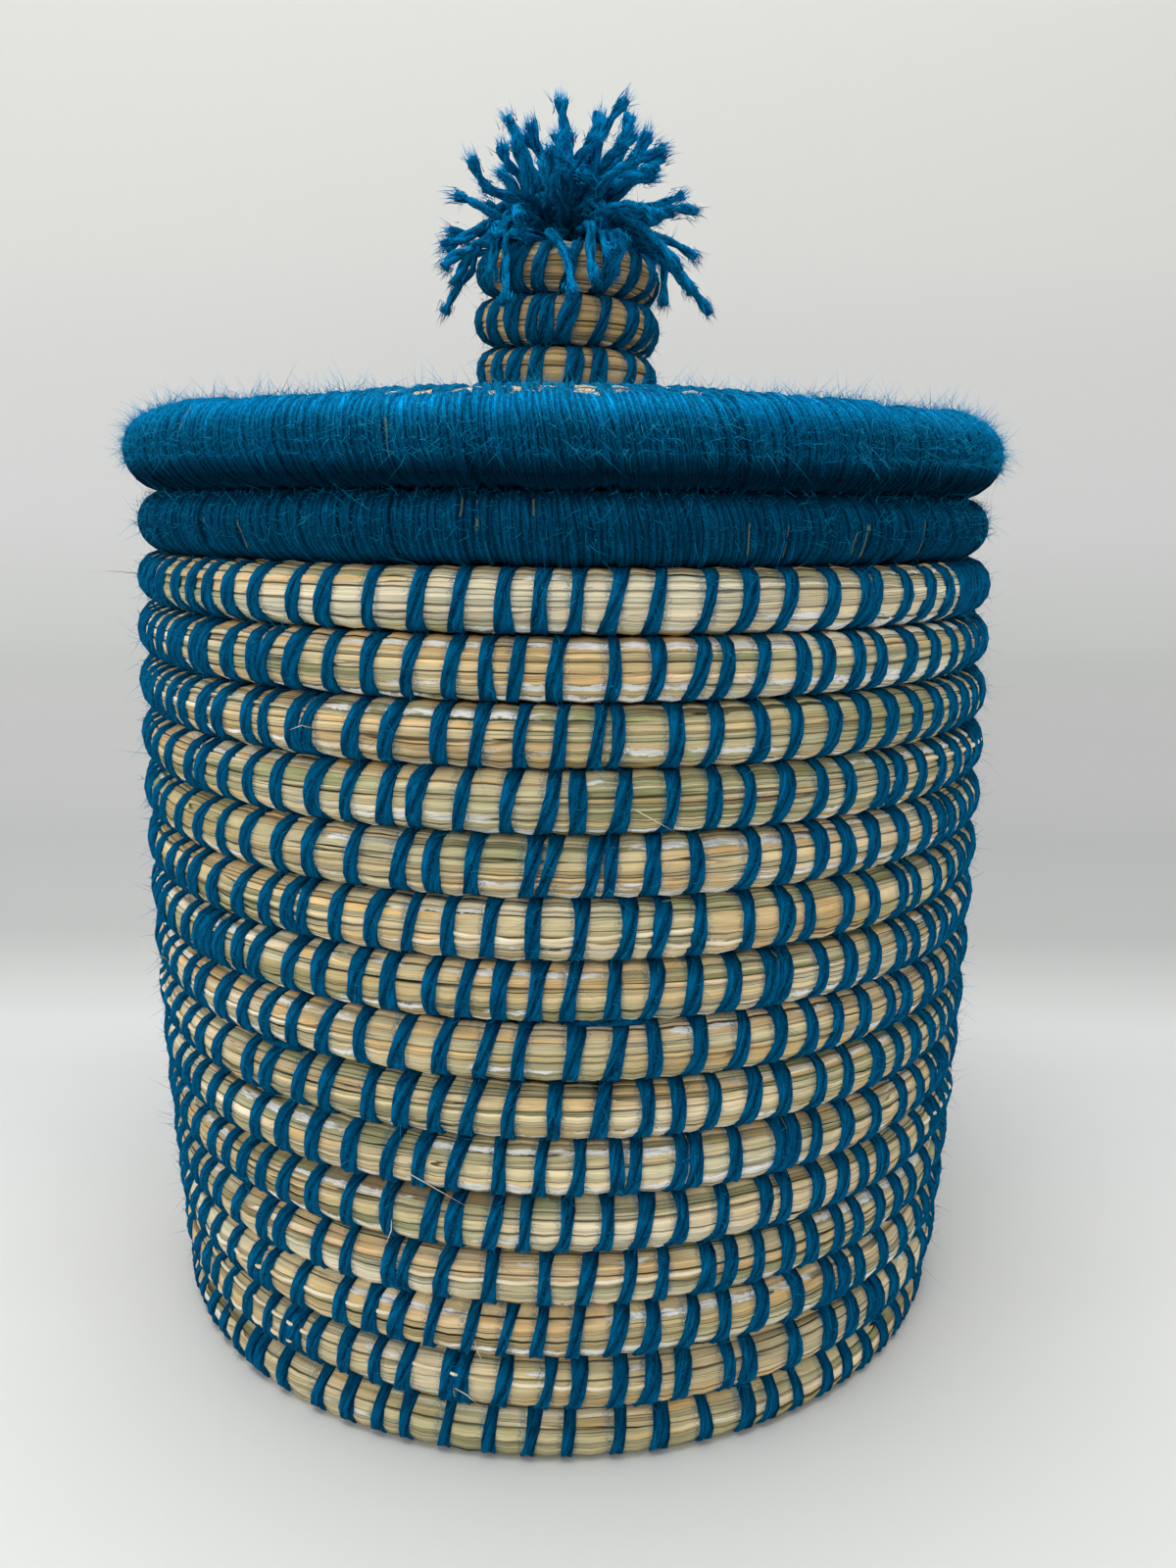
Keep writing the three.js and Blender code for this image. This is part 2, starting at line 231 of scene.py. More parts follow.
def curlsOf(tree, scale, distortion):
    # curly lines: how far a warped noise is from its middle value, nought along each curl
    inputs = {"Vector": objectPlace(tree), "Scale": scale, "Detail": 2.0, "Distortion": distortion}
    return apart(tree, addNode(tree, "ShaderNodeTexNoise", inputs).outputs["Fac"], 0.5)


def linkAll(tree, node, values):
    # each value goes to the node's input of that name
    for label, value in values.items():
        tree.links.new(value, node.inputs[label])


def bumpOf(tree, strength, distance, height):
    inputs = {"Strength": strength, "Distance": distance, "Height": height}
    return addNode(tree, "ShaderNodeBump", inputs).outputs[0]


def newMaterial(name, values):
    # a material with its node tree and its shader, whose plain values go by the sockets' names
    material = bpy.data.materials.new(name)
    material.use_nodes = True
    shader = material.node_tree.nodes["Principled BSDF"]
    for label, value in values.items():
        shader.inputs[label].default_value = value
    return material, material.node_tree, shader


rushLook = {
    "pale": srgb(246, 236, 210),
    "tan": srgb(224, 205, 161),
    "orange": srgb(218, 181, 124),
    "straw": srgb(210, 198, 158),
    "olive": srgb(160, 162, 114),
    "brown": srgb(166, 144, 106),
    # warmer and darker: its own warmth, and painted shade where the tassel shades the knob
    "warmAndShaded": srgb(186, 144, 92),
    "pith": srgb(252, 251, 246),
    "frayed": srgb(206, 200, 184),
    "gap": srgb(36, 36, 20),
    "core": srgb(132, 136, 86),
    "lint": srgb(20, 104, 130),
}

woolLook = {
    "light": srgb(0, 126, 184),
    "middle": srgb(0, 74, 116),
    "dark": srgb(0, 18, 36),
    "sheen": srgb(0, 160, 230),
    "hair": srgb(0, 130, 182),
    "fuzz": srgb(24, 150, 192),
}


def rushGroup():
    # colour of a bundle of stems. U is metres along the bundle, V counts stems round it.
    # Each stem takes its own tone from a ramp, with fine lengthwise lines of shadow on top.
    # The pith vectors say how far, in radians, three split stems are and how much white each shows.
    tree, source, sink = newGroup(
        "rushStems",
        [
            ("UV", "NodeSocketVector"), ("Near stitch", "NodeSocketFloat"),
            ("Pith off", "NodeSocketVector"), ("Pith on", "NodeSocketVector"),
            ("Warmth and shade", "NodeSocketFloat"),
        ],
        [("Colour", "NodeSocketColor"), ("Roughness", "NodeSocketFloat"), ("Height", "NodeSocketFloat")],
    )
    along, stem, _ = split(tree, source.outputs["UV"])

    def stretched(alongScale, acrossScale, seed, detail, across=stem, roughness=0.5):
        place = vectorOf(tree, times(tree, along, alongScale), times(tree, across, acrossScale), seed)
        return noiseOf(tree, place, detail, roughness=roughness)

    # flat-toned strips side by side: the tone of each, and 1 where its edge is
    warp = minus(tree, stretched(26.0, 0.3, 30.0, 1.5), 0.5)
    uneven = stretched(3.5, 0.9, 34.0, 1.0)
    lane = timesPlus(tree, warp, 0.75, timesPlus(tree, uneven, 2.2, stem))

    def strips(across, count, alongScale, seed):
        place = timesPlus(tree, across, count, seed)
        tone = stretched(alongScale, 7.31, seed, 1.0, calc(tree, "FLOOR", place))
        return tone, times(tree, apart(tree, calc(tree, "FRACT", place), 0.5), 2.0)

    stemTone, stemEdge = strips(timesPlus(tree, warp, 0.3, stem), 1.0, 8.0, 0.0)
    broadTone, broadEdge = strips(lane, 2.3, 15.0, 3.7)
    thinTone, thinEdge = strips(lane, 6.1, 24.0, 8.3)
    hue = timesPlus(tree, minus(tree, broadTone, 0.5), 0.6, stemTone)
    ramp = addNode(tree, "ShaderNodeValToRGB", {0: rangeOf(tree, hue, 0.24, 0.76)})
    labels = ["brown", "olive", "straw", "tan", "orange", "pale"]
    while len(ramp.color_ramp.elements) < len(labels):
        ramp.color_ramp.elements.new(0.5)
    for number, (element, label) in enumerate(zip(ramp.color_ramp.elements, labels)):
        element.position = (0.0, 0.16, 0.36, 0.56, 0.78, 1.0)[number]
        element.color = rushLook[label]
    colour = ramp.outputs[0]
    for seed, label in ((40.0, "olive"), (44.0, "pale"), (48.0, "orange")):
        stretch = stretched(9.0, 0.2, seed, 1.0)
        colour = mixed(tree, rangeOf(tree, stretch, 0.52, 0.66, 0.0, 0.6), colour, rushLook[label])
    # the warm colour is the rush's own warmth and, being darker, also painted shade from the tassel
    # above the knob
    colour = mixed(tree, source.outputs["Warmth and shade"], colour, rushLook["warmAndShaded"])
    streak = stretched(14.0, 3.6, 3.0, 3.0, roughness=0.55)
    fibre = stretched(60.0, 9.0, 9.0, 3.0, across=lane, roughness=0.75)
    plain = rangeOf(tree, stretched(3.0, 7.31, 50.0, 1.0, calc(tree, "FLOOR", stem)), 0.45, 0.6)
    for tone, low, high in (
        (broadTone, 0.84, 1.12), (thinTone, 0.8, 1.14), (streak, 0.9, 1.08), (fibre, 0.8, 1.16),
    ):
        colour = shaded(tree, colour, rangeOf(tree, tone, 0.34, 0.64, low, high))
    gap = rangeOf(tree, stemEdge, 0.86, 0.95)
    gap = times(tree, gap, rangeOf(tree, streak, 0.36, 0.6, 1.0, 0.55))
    broadDark = rangeOf(tree, broadTone, 0.43, 0.5, 1.0, 0.0)
    broadLine = times(tree, rangeOf(tree, broadEdge, 0.8, 0.86), broadDark)
    thinDark = rangeOf(tree, thinTone, 0.4, 0.46, 0.85, 0.0)
    thinLine = times(tree, rangeOf(tree, thinEdge, 0.66, 0.78), thinDark)
    thinLine = times(tree, thinLine, minus(tree, 1.0, plain))
    broken = rangeOf(tree, stretched(38.0, 1.7, 70.0, 2.0), 0.4, 0.58, 0.25, 1.0)
    lines = times(tree, calc(tree, "MAXIMUM", broadLine, thinLine), broken)
    gap = calc(tree, "MAXIMUM", gap, lines)
    colour = mixed(tree, gap, colour, rushLook["gap"])
    ragged = stretched(230.0, 1.5, 3.0, 4.0, roughness=0.66)
    pithOff = split(tree, source.outputs["Pith off"])
    pithOn = split(tree, source.outputs["Pith on"])
    flakes = stretched(55.0, 0.6, 17.0, 2.0)
    pith = 0.0
    for track in range(3):
        off = calc(tree, "ABSOLUTE", pithOff[track])
        off = timesPlus(tree, minus(tree, ragged, 0.5), 0.42, off)
        there = timesPlus(tree, minus(tree, flakes, 0.5), 3.6, pithOn[track])
        # the band is wider where more of the pith shows
        off = timesPlus(tree, rangeOf(tree, there, 0.5, 1.6), -0.15, off)
        band = rangeOf(tree, off, 0.08, 0.11, 1.0, 0.0)
        band = times(tree, band, rangeOf(tree, there, 0.1, 0.3))
        pith = calc(tree, "MAXIMUM", pith, band)
    frayed = rangeOf(tree, stretched(240.0, 7.0, 14.0, 2.0), 0.3, 0.5)
    white = mixed(tree, frayed, rushLook["frayed"], rushLook["pith"])
    colour = mixed(tree, pith, colour, white)
    # wool hairs from the stitches lie on the stems: thin curls that thicken towards a stitch
    near = source.outputs["Near stitch"]
    reach = rangeOf(tree, near, 0.42, 0.7, 0.002, 0.12)
    lint = minus(tree, 1.0, calc(tree, "DIVIDE", curlsOf(tree, 900.0, 1.2), reach), clamp=True)
    lint = times(tree, lint, rangeOf(tree, near, 0.3, 0.66, 0.06, 0.65))
    colour = mixed(tree, lint, colour, rushLook["lint"])
    rough = calc(tree, "MAXIMUM", rangeOf(tree, streak, 0.3, 0.7, 0.75, 0.95), pith)
    height = calc(tree, "ADD", times(tree, fibre, 0.5), times(tree, broadTone, 0.8))
    height = minus(tree, height, gap)
    height = timesPlus(tree, ragged, times(tree, pith, 1.6), height)
    linkAll(tree, sink, {"Colour": colour, "Roughness": rough, "Height": height})
    return tree


def woolGroup():
    # colour of two-ply yarn. U is metres along the yarn, V goes up by 2 round it, Twist is plies
    # passed per metre. A groove slants where the plies meet, painted dark as shade, and soft fibres lie
    # nearly along them.
    tree, source, sink = newGroup(
        "woolYarn",
        [("UV", "NodeSocketVector"), ("Twist", "NodeSocketFloat"), ("Fluff", "NodeSocketFloat")],
        [("Colour", "NodeSocketColor"), ("Height", "NodeSocketFloat")],
    )
    along, across, _ = split(tree, source.outputs["UV"])
    turns = timesPlus(tree, along, source.outputs["Twist"], across)
    ply = apart(tree, calc(tree, "FRACT", turns), 0.5)
    groove = calc(tree, "POWER", times(tree, ply, 2.0), 3.0)

    def stretched(alongScale, acrossScale, seed, detail):
        place = vectorOf(tree, times(tree, along, alongScale), times(tree, turns, acrossScale), seed)
        return noiseOf(tree, place, detail, roughness=0.65)

    fibre = stretched(150.0, 6.5, 0.0, 5.0)
    cloud = stretched(90.0, 0.45, 8.0, 3.0)
    colour = mixed(tree, rangeOf(tree, fibre, 0.34, 0.64), woolLook["dark"], woolLook["light"])
    colour = mixed(tree, rangeOf(tree, cloud, 0.3, 0.7, 0.5, 0.0), colour, woolLook["middle"])
    # painted shade in the groove between the plies
    colour = mixed(tree, times(tree, groove, 0.85), colour, woolLook["dark"])
    # curly hairs lying on the yarn
    hair = rangeOf(tree, curlsOf(tree, 520.0, 1.6), 0.012, 0.05, 1.0, 0.0)
    hair = times(tree, hair, source.outputs["Fluff"])
    colour = mixed(tree, hair, colour, woolLook["hair"])
    height = timesPlus(tree, hair, 0.8, minus(tree, fibre, times(tree, groove, 0.8)))
    linkAll(tree, sink, {"Colour": colour, "Height": height})
    return tree


rushNodes = rushGroup()
woolNodes = woolGroup()


def rushMaterial(name, warmthAndShade):
    material, tree, shader = newMaterial(name, {"Specular IOR Level": 0.06})
    inputs = {
        "UV": ownUv(tree),
        "Near stitch": attributeOf(tree, "nearStitch"),
        "Pith off": attributeOf(tree, "pithOff", "Vector"),
        "Pith on": attributeOf(tree, "pithOn", "Vector"),
        "Warmth and shade": warmthAndShade,
    }
    stems = addNode(tree, "ShaderNodeGroup", inputs, node_tree=rushNodes).outputs
    linkAll(tree, shader, {
        "Base Color": stems["Colour"],
        "Roughness": stems["Roughness"],
        "Normal": bumpOf(tree, 0.6, 0.0004, stems["Height"]),
    })
    return material


def woolMaterial(name, twist, fluff, wrapped=False):
    material, tree, shader = newMaterial(name, {
        "Roughness": 0.92, "Specular IOR Level": 0.02,
        "Sheen Weight": 0.2, "Sheen Roughness": 0.4, "Sheen Tint": woolLook["sheen"],
    })
    uv = ownUv(tree)
    inputs = {"UV": uv, "Twist": twist, "Fluff": fluff}
    yarn = addNode(tree, "ShaderNodeGroup", inputs, node_tree=woolNodes).outputs
    # painted shade and light: darker where the wool lies deep, such as in a seam or the middle of the
    # tassel, and brighter where the light falls, such as the lid rim's top and the tassel's tips
    colour = shaded(tree, yarn["Colour"], attributeOf(tree, "tone"))
    if wrapped:
        # each turn a little lighter or darker at random, painted shade in the groove between two, and
        # slits where they part
        along, count, _ = split(tree, uv)
        count = times(tree, count, 0.5)
        turn = noiseOf(tree, vectorOf(tree, times(tree, calc(tree, "FLOOR", count), 7.3)), 1.0)
        turn = rangeOf(tree, turn, 0.3, 0.7, 0.62, 1.38)
        colour = shaded(tree, colour, turn)
        off = apart(tree, calc(tree, "FRACT", count), 0.5)
        groove = times(tree, rangeOf(tree, off, 0.26, 0.49), rangeOf(tree, turn, 0.7, 1.3, 0.95, 0.55))
        colour = mixed(tree, groove, colour, woolLook["dark"])
        broken = noiseOf(tree, vectorOf(tree, times(tree, along, 260.0), count), 1.0)
        bare = times(tree, attributeOf(tree, "bare"), rangeOf(tree, broken, 0.42, 0.5, 0.1, 1.0))
        slit = times(tree, rangeOf(tree, bare, 0.15, 0.3), rangeOf(tree, off, 0.12, 0.2, 0.85, 0.0))
        colour = mixed(tree, slit, colour, rushLook["core"])
    bump = bumpOf(tree, 0.9, 0.0006, yarn["Height"])
    linkAll(tree, shader, {"Base Color": colour, "Normal": bump})
    return material


def looseMaterial(name, dark, light, values, detail=1.0, scale=90.0):
    # cloudy between two colours, for pieces too thin to carry a pattern of their own
    material, tree, shader = newMaterial(name, values)
    tone = rangeOf(tree, noiseOf(tree, objectPlace(tree), detail, scale), 0.35, 0.65)
    tree.links.new(mixed(tree, tone, dark, light), shader.inputs["Base Color"])
    return material


rush = rushMaterial("rush", 0.0)
# the knob's rush is mixed towards the warm colour, which is darker as painted shade from the tassel over
# the knob
knobRush = rushMaterial("knobRush", 0.6)
wool = woolMaterial("wool", 34.0, 0.18)
wrapWool = woolMaterial("wrapWool", 55.0, 0.5, wrapped=True)
tasselWool = woolMaterial("tasselWool", 70.0, 0.6)
softFinish = {"Roughness": 0.9, "Specular IOR Level": 0.03}
fuzz = looseMaterial("woolFuzz", woolLook["hair"], woolLook["fuzz"], softFinish)
brushWool = looseMaterial("brushWool", woolLook["light"], woolLook["hair"], softFinish)
straw = looseMaterial("looseStraw", rushLook["tan"], rushLook["pale"], {"Roughness": 0.6}, 2.0, 60.0)
print("materials made")


# the coil: its path, its bundle of stems and its stitches

body = {
    "pitch": 0.014,        # one row
    "climb": 0.95,         # how much of the climb is kept to the back
    "foot": 0.104,         # radius of the corner row's middle
    "top": 0.1084,         # the same where the wall meets the rim
    "bulge": 0.0029,
    "wallRows": 14,
    "baseRows": 7,
    "flatCut": 0.8,        # height of a base row's middle, in bundle radii of the solid
    "solidRadius": 0.0067,
}
rimLow, rimHigh = (np.array(v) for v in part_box("rim_wrap"))
lidRimLow, lidRimHigh = (np.array(v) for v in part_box("lid_rim_wrap"))
lipLow, lipHigh = (np.array(v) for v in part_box("lid_lip_row"))
cornerStation = body["baseRows"] - 0.5
rowHeight = body["flatCut"] * body["solidRadius"]
rimFloor = rowHeight + (body["wallRows"] + 0.5) * body["pitch"]


def stationAt(turn):
    # rows gained after so many turns from the back: the turn with a sine that keeps the climb there
    return turn + body["climb"] / (2 * np.pi) * np.sin(2 * np.pi * turn)


def angleAt(turn):
    return np.pi / 2 - 2 * np.pi * turn


def bodyPlace(station):
    # flat rows one pitch apart, then rows one pitch up each on a wall that bellies as a parabola
    # between its foot and its top.
    # The first row up swings round the corner row on a quarter circle of one pitch.
    pitch = body["pitch"]
    row = station - cornerStation
    part = row - np.floor(row)
    swing = part * np.pi / 2
    outward = pitch * (np.cos(swing) - 1 + part) * (1 - row / (body["wallRows"] + 1))
    rise = pitch * (np.sin(swing) - part)
    up = row / (body["wallRows"] + 0.5)
    wall = body["foot"] + (body["top"] - body["foot"]) * up + 4 * body["bulge"] * up * (1 - up) + outward
    radius = np.where(row < 0, body["foot"] + pitch * row, wall)
    height = np.where(row < 0, rowHeight, rowHeight + pitch * row + rise)
    return radius, height


lid = {
    "rows": 7,
    "domeRise": 0.010,
    "shoulder": 0.0016,
    "edge": 0.0984,
}
lid["middle"] = (lidRimLow[2] + lidRimHigh[2]) / 2


def lidHeight(radius):
    # a dome, a little fuller half way out than a parabola
    out = (radius / lid["edge"]) ** 2
    return lid["middle"] + lid["domeRise"] * (1 - out) + 4 * lid["shoulder"] * out * (1 - out)


def lidPlace(station):
    radius = lid["edge"] + body["pitch"] * (station - lid["rows"])
    return radius, lidHeight(radius)


knob = {
    "pitch": 0.013,
    "rows": 3,
    "radius": 0.018,
    "narrowing": 0.0006,
}
solidFlat = body["solidRadius"] * math.cos(math.pi / 6)
knob["floor"] = float(lidHeight(knob["radius"])) + solidFlat
knobTop = knob["floor"] + knob["rows"] * knob["pitch"]


def knobPlace(station):
    middle = knob["rows"] / 2
    offset = (station - middle) / middle
    return knob["radius"] - knob["narrowing"] * offset**2, knob["floor"] + knob["pitch"] * station


# the locating row under the lid: one closed, level turn
lip = {"pitch": lipHigh[2] - lipLow[2], "level": (lipLow[2] + lipHigh[2]) / 2}
lip["radius"] = lipHigh[0] - lip["pitch"] / 2 - 0.0012


def lipPlace(station):
    return lip["radius"] + 0 * station, lip["level"] + lip["pitch"] * station


def wholeRow(station, height):
    return np.ones_like(station), np.zeros_like(station)


def underRim(station, height):
    # a row that would climb past the rim's level keeps only what fits under it
    share = np.clip((rimFloor - height) / body["pitch"] + 0.5, 0.02, 1)
    return share, (share - 1) / 2


def between(low, high):
    def thin(station, height):
        under = np.maximum(station - 0.5, low)
        over = np.minimum(station + 0.5, high)
        return np.maximum(over - under, 0.02), (under + over) / 2 - station
    return thin


# the stations at which the two flat spirals would reach the axis
centreRadius = 0.0009
centreStation = cornerStation - (body["foot"] - centreRadius) / body["pitch"]
lidCentreStation = lid["rows"] - (lid["edge"] - centreRadius) / body["pitch"]

# from and to are turns, side is +1 where the outside faces down or out and -1 where it faces up
coils = {
    "base": {
        "place": bodyPlace, "thin": between(centreStation, 99), "from": -1.083, "to": 6.75,
        "pitch": body["pitch"], "side": 1, "stems": 15, "spacing": 0.0084, "pieces": 2,
    },
    "wall": {
        "place": bodyPlace, "thin": underRim, "from": 6.75, "to": 21.083, "pitch": body["pitch"],
        "side": 1, "stems": 15, "spacing": 0.0084, "pieces": 5,
    },
    "lid": {
        "place": lidPlace, "thin": between(lidCentreStation, lid["rows"]), "from": -0.167, "to": 7.208,
        "pitch": body["pitch"], "side": -1, "stems": 15, "spacing": 0.0084, "pieces": 2, "pith": 0.3,
    },
    "knob": {
        "place": knobPlace, "thin": between(0, knob["rows"]), "from": -0.208, "to": 3.208,
        "pitch": knob["pitch"], "side": 1, "stems": 13, "spacing": 0.0059, "pieces": 1, "rush": knobRush,
        "pith": -0.7,
    },
    "lip": {
        "place": lipPlace, "thin": wholeRow, "from": 0.0, "to": 1.0, "pitch": lip["pitch"],
        "side": 1, "stems": 14, "spacing": 0.0034, "pieces": 1, "level": True,
    },
}


rowFill = 0.98           # how much of its pitch a row fills
squareness = 0.92        # the power that makes a round section squarer


def coilFrame(coil, turn):
    # the middle line's radius and height, the way from row to row, and what is left of the row
    station = 0 * turn if coil.get("level") else stationAt(turn)
    radius, height = coil["place"](station)
    radius0, height0 = coil["place"](station - 0.5)
    radius1, height1 = coil["place"](station + 0.5)
    along = np.arctan2(height1 - height0, radius1 - radius0)
    share, shift = coil["thin"](station, height)
    return {
        "radius": radius + shift * coil["pitch"] * np.cos(along),
        "height": height + shift * coil["pitch"] * np.sin(along),
        "along": along,
        "out": along - coil["side"] * np.pi / 2,
        "angle": angleAt(turn),
        "halfAlong": coil["pitch"] / 2 * share * rowFill,
        "halfAcross": coil["pitch"] / 2 * (0.5 + 0.5 * share),
        "share": share,
    }


def onCoil(place, around, lift):
    # a point on the bundle: a rounded square-ish oval in the upright plane, then swung to its angle
    def rounded(value):
        return np.sign(value) * np.abs(value) ** squareness
    outward = rounded(np.cos(around)) * place["halfAcross"] + np.cos(around) * lift
    forward = rounded(np.sin(around)) * place["halfAlong"] + np.sin(around) * lift
    radius = place["radius"] + outward * np.cos(place["out"]) + forward * np.cos(place["along"])
    height = place["height"] + outward * np.sin(place["out"]) + forward * np.sin(place["along"])
    return np.stack([radius * np.cos(place["angle"]), radius * np.sin(place["angle"]), height], -1)


def column(place):
    return {key: np.asarray(value)[..., None] * 1.0 for key, value in place.items()}


def setStitches(coil):
    # stitches lie at uneven steps along the bundle, now and then two close together
    table = np.linspace(coil["from"], coil["to"], 4000)
    radius = coilFrame(coil, table)["radius"]
    steps = np.abs(2 * np.pi * radius[1:] * np.diff(table))
    length = np.concatenate([[0], np.cumsum(steps)])
    count = int(length[-1] / coil["spacing"])
    gaps = np.clip(1 + 0.17 * rng.standard_normal(count), 0.55, 1.5)
    gaps = np.where(rng.random(count) < 0.035, 0.42, gaps)
    places = np.cumsum(gaps)
    places = places / places[-1] * (length[-1] - 0.004)
    coil["stitches"] = np.interp(places, length, table)
    knots = np.concatenate([[0], places, [length[-1]]])
    fine = np.interp(np.arange(2 * len(knots) - 1) / 2, np.arange(len(knots)), knots)
    coil["metres"] = fine
    coil["turns"] = np.interp(fine, length, table)
    near = np.abs(fine[:, None] - places[None, :]).min(axis=1)
    coil["near"] = np.clip(1 - near / 0.0042, 0, 1)


def wave(count, size, metres, lengths):
    # smooth wander along the bundle, different for each column: three sines with random phases
    total = 0
    for length in lengths:
        phase = rng.random((1, count)) * 2 * np.pi
        total = total + np.sin(2 * np.pi * metres[:, None] / length + phase)
    return size * total / len(lengths)


floorGap = 0.0004


def rushBundle(label, coil, body, node):
    # stems side by side round the bundle: a valley and a crest with two edges each. Stems stand
    # out unevenly, and the whole bundle swells between the stitches that draw it in.
    stems = coil["stems"]
    metres = coil["metres"]
    widths = np.exp(rng.normal(0, 0.4, stems))
    valleys = np.concatenate([[0], np.cumsum(widths)[:-1]]) / widths.sum()
    step = widths / widths.sum()
    base = np.stack([valleys, valleys + 0.12 * step, valleys + 0.88 * step], 1).ravel() * 2 * np.pi
    columns = 3 * stems
    crest = np.tile([0, 1, 1], stems)
    wander = np.repeat(wave(stems, 0.09, metres, (0.09, 0.2, 0.37)), 3, axis=1)
    around = base[None] + wander + 0.35 * coil["turns"][:, None]
    stand = np.repeat(wave(stems, 0.00055, metres, (0.05, 0.12, 0.3)), 3, axis=1) * crest
    stand = stand * (1 - 0.6 * coil["near"][:, None])
    valley = -0.0004 * (1 - crest)
    swell = 0.0002 - 0.0005 * coil["near"][:, None]
    lift = (stand + valley) * np.abs(np.cos(around)) ** 0.4 + swell
    place = column(coilFrame(coil, coil["turns"]))
    points = onCoil(place, around, lift * place["share"])
    points[..., 2] = np.maximum(points[..., 2], floorGap)
    # three split stems that show their pith: low on the outside, above it, and high up
    pithOff, pithOn = [], []
    for middle, strength in ((-1.1, 0.6), (-0.5, 0.0), (0.8, -0.15)):
        track = middle + wave(1, 0.16, metres, (0.11, 0.23, 0.5))
        there = strength + coil.get("pith", 0) + wave(1, 1.0, metres, (0.09, 0.21, 0.5))
        pithOff.append(np.sin(around - track))
        pithOn.append(there * np.clip(3 * np.cos(around - track), 0, 1))
    u = np.broadcast_to(metres[:, None], (len(metres), columns + 1))
    v = np.concatenate([(np.arange(stems)[:, None] + [0, 0.12, 0.88]).ravel(), [stems]])
    uv = np.stack([u, np.broadcast_to(v, u.shape)], -1)
    near = np.broadcast_to(coil["near"][:, None], points.shape[:2])
    cuts = np.round(np.linspace(0, (len(metres) - 1) / 2, coil["pieces"] + 1)).astype(int) * 2
    cuts[-1] = len(metres) - 1
    for number, (start, end) in enumerate(zip(cuts[:-1], cuts[1:]), 1):
        part = slice(start, end + 1)
        piece = gridMesh(
            f"{label}_rush_{number}", points[None, part], uv[None, part], coil.get("rush", rush),
            shades={
                "nearStitch": near[part],
                "pithOff": np.stack(pithOff, -1)[part],
                "pithOn": np.stack(pithOn, -1)[part],
            },
        )
        finishPiece(piece, body, "rush", node)
    print(label, "bundle", len(metres), "by", columns)


stitch = {
    "halfWidth": 0.00168,
    "halfThick": 0.00095,
    "slant": 0.001,
    "rings": 12,
    "sides": 6,
    "furrow": 0.4,         # how far the groove between the two strands of yarn goes in
}


def stitchRow(label, coil, body, slant=1.0, size=1.0):
    # each stitch is a closed loop of yarn round the bundle, which leans as it crosses the outside
    turns = coil["stitches"]
    count = len(turns)
    # rings lie closer on the outside of the bundle than where it is hidden
    w = (np.arange(stitch["rings"]) / stitch["rings"] + 0.5) * 2 * np.pi
    w = w - 0.32 * np.sin(w)
    radius = coilFrame(coil, turns)["radius"][:, None]
    lean = stitch["slant"] * slant * rng.uniform(0.4, 1.6, (count, 1))
    drift = 0.0003 * np.sin(2 * w[None] + rng.random((count, 1)) * phaseSpan)
    offset = lean * np.sin(w)[None] + drift
    turnAt = turns[:, None] - offset / (2 * np.pi * radius)
    place = coilFrame(coil, turnAt)
    squeeze = np.abs(np.cos(w))[None]
    uneven = 1 + 0.14 * np.sin(2 * w[None] + rng.random((count, 1)) * phaseSpan)
    uneven = uneven + rng.normal(0, 0.06, (count, stitch["rings"]))
    width = size * stitch["halfWidth"] * rng.uniform(0.8, 1.2, (count, 1))
    width = width * uneven * (1.06 - 0.1 * squeeze)
    # the yarn spreads a little wider in the lower rows
    width = width * (1 + 0.16 * np.clip(1 - place["height"] / rimFloor, 0, 1))
    thick = stitch["halfThick"] * rng.uniform(0.85, 1.15, (count, 1)) * (0.6 + 0.4 * squeeze)
    lift = 0.0001 * squeeze - 0.0005 * (1 - squeeze)
    middle = onCoil(place, np.broadcast_to(w[None], turnAt.shape), lift * place["share"])
    middle[..., 2] = np.maximum(middle[..., 2], stitch["halfThick"] * 1.2)
    angle = place["angle"]
    tangent = np.stack([-np.sin(angle), np.cos(angle), np.zeros_like(angle)], -1)
    plane = np.cos(w) * np.cos(place["out"]) + np.sin(w) * np.cos(place["along"])
    upright = np.cos(w) * np.sin(place["out"]) + np.sin(w) * np.sin(place["along"])
    normal = np.stack([plane * np.cos(angle), plane * np.sin(angle), upright], -1)
    sides = (np.arange(stitch["sides"]) + 0.5) / stitch["sides"] * 2 * np.pi
    across = (width[..., None] * np.cos(sides))[..., None] * tangent[:, :, None]
    lobes = np.sign(np.sin(sides)) * (1 - stitch["furrow"] * (np.abs(np.cos(sides)) < 0.1))
    outward = (thick[..., None] * lobes)[..., None] * normal[:, :, None]
    points = middle[:, :, None] + across + outward
    length = 2 * np.pi * coil["pitch"] / 2
    # whole metres are added, so that the groove still runs over the outermost point
    u = np.linspace(-0.5, 0.5, stitch["rings"] + 1)[None, :, None] * length
    u = u + rng.integers(0, 40, (count, 1, 1))
    v = (np.linspace(0, 2, stitch["sides"] + 1) + 1 / stitch["sides"] - 0.5)[None, None]
    uv = together(u, v)
    # painted shade: the yarn is darker where it passes between the rows and lies hidden in a seam
    tone = np.broadcast_to((0.2 + 0.8 * squeeze**0.5)[..., None], points.shape[:3])
    piece = gridMesh(f"{label}_stitches", points, uv, wool, closeRows=True, shades={"tone": tone})
    finishPiece(piece, body, "wool")
    print(label, "stitches", count)
    # where fuzz can stand: both edges of the yarn and its back
    tangent = np.broadcast_to(tangent, middle.shape)
    side = tangent * width[..., None] * 0.8
    spots = [middle + side, middle - side, middle + normal * thick[..., None]]
    return np.stack(spots), np.stack([tangent + normal, normal - tangent, normal])


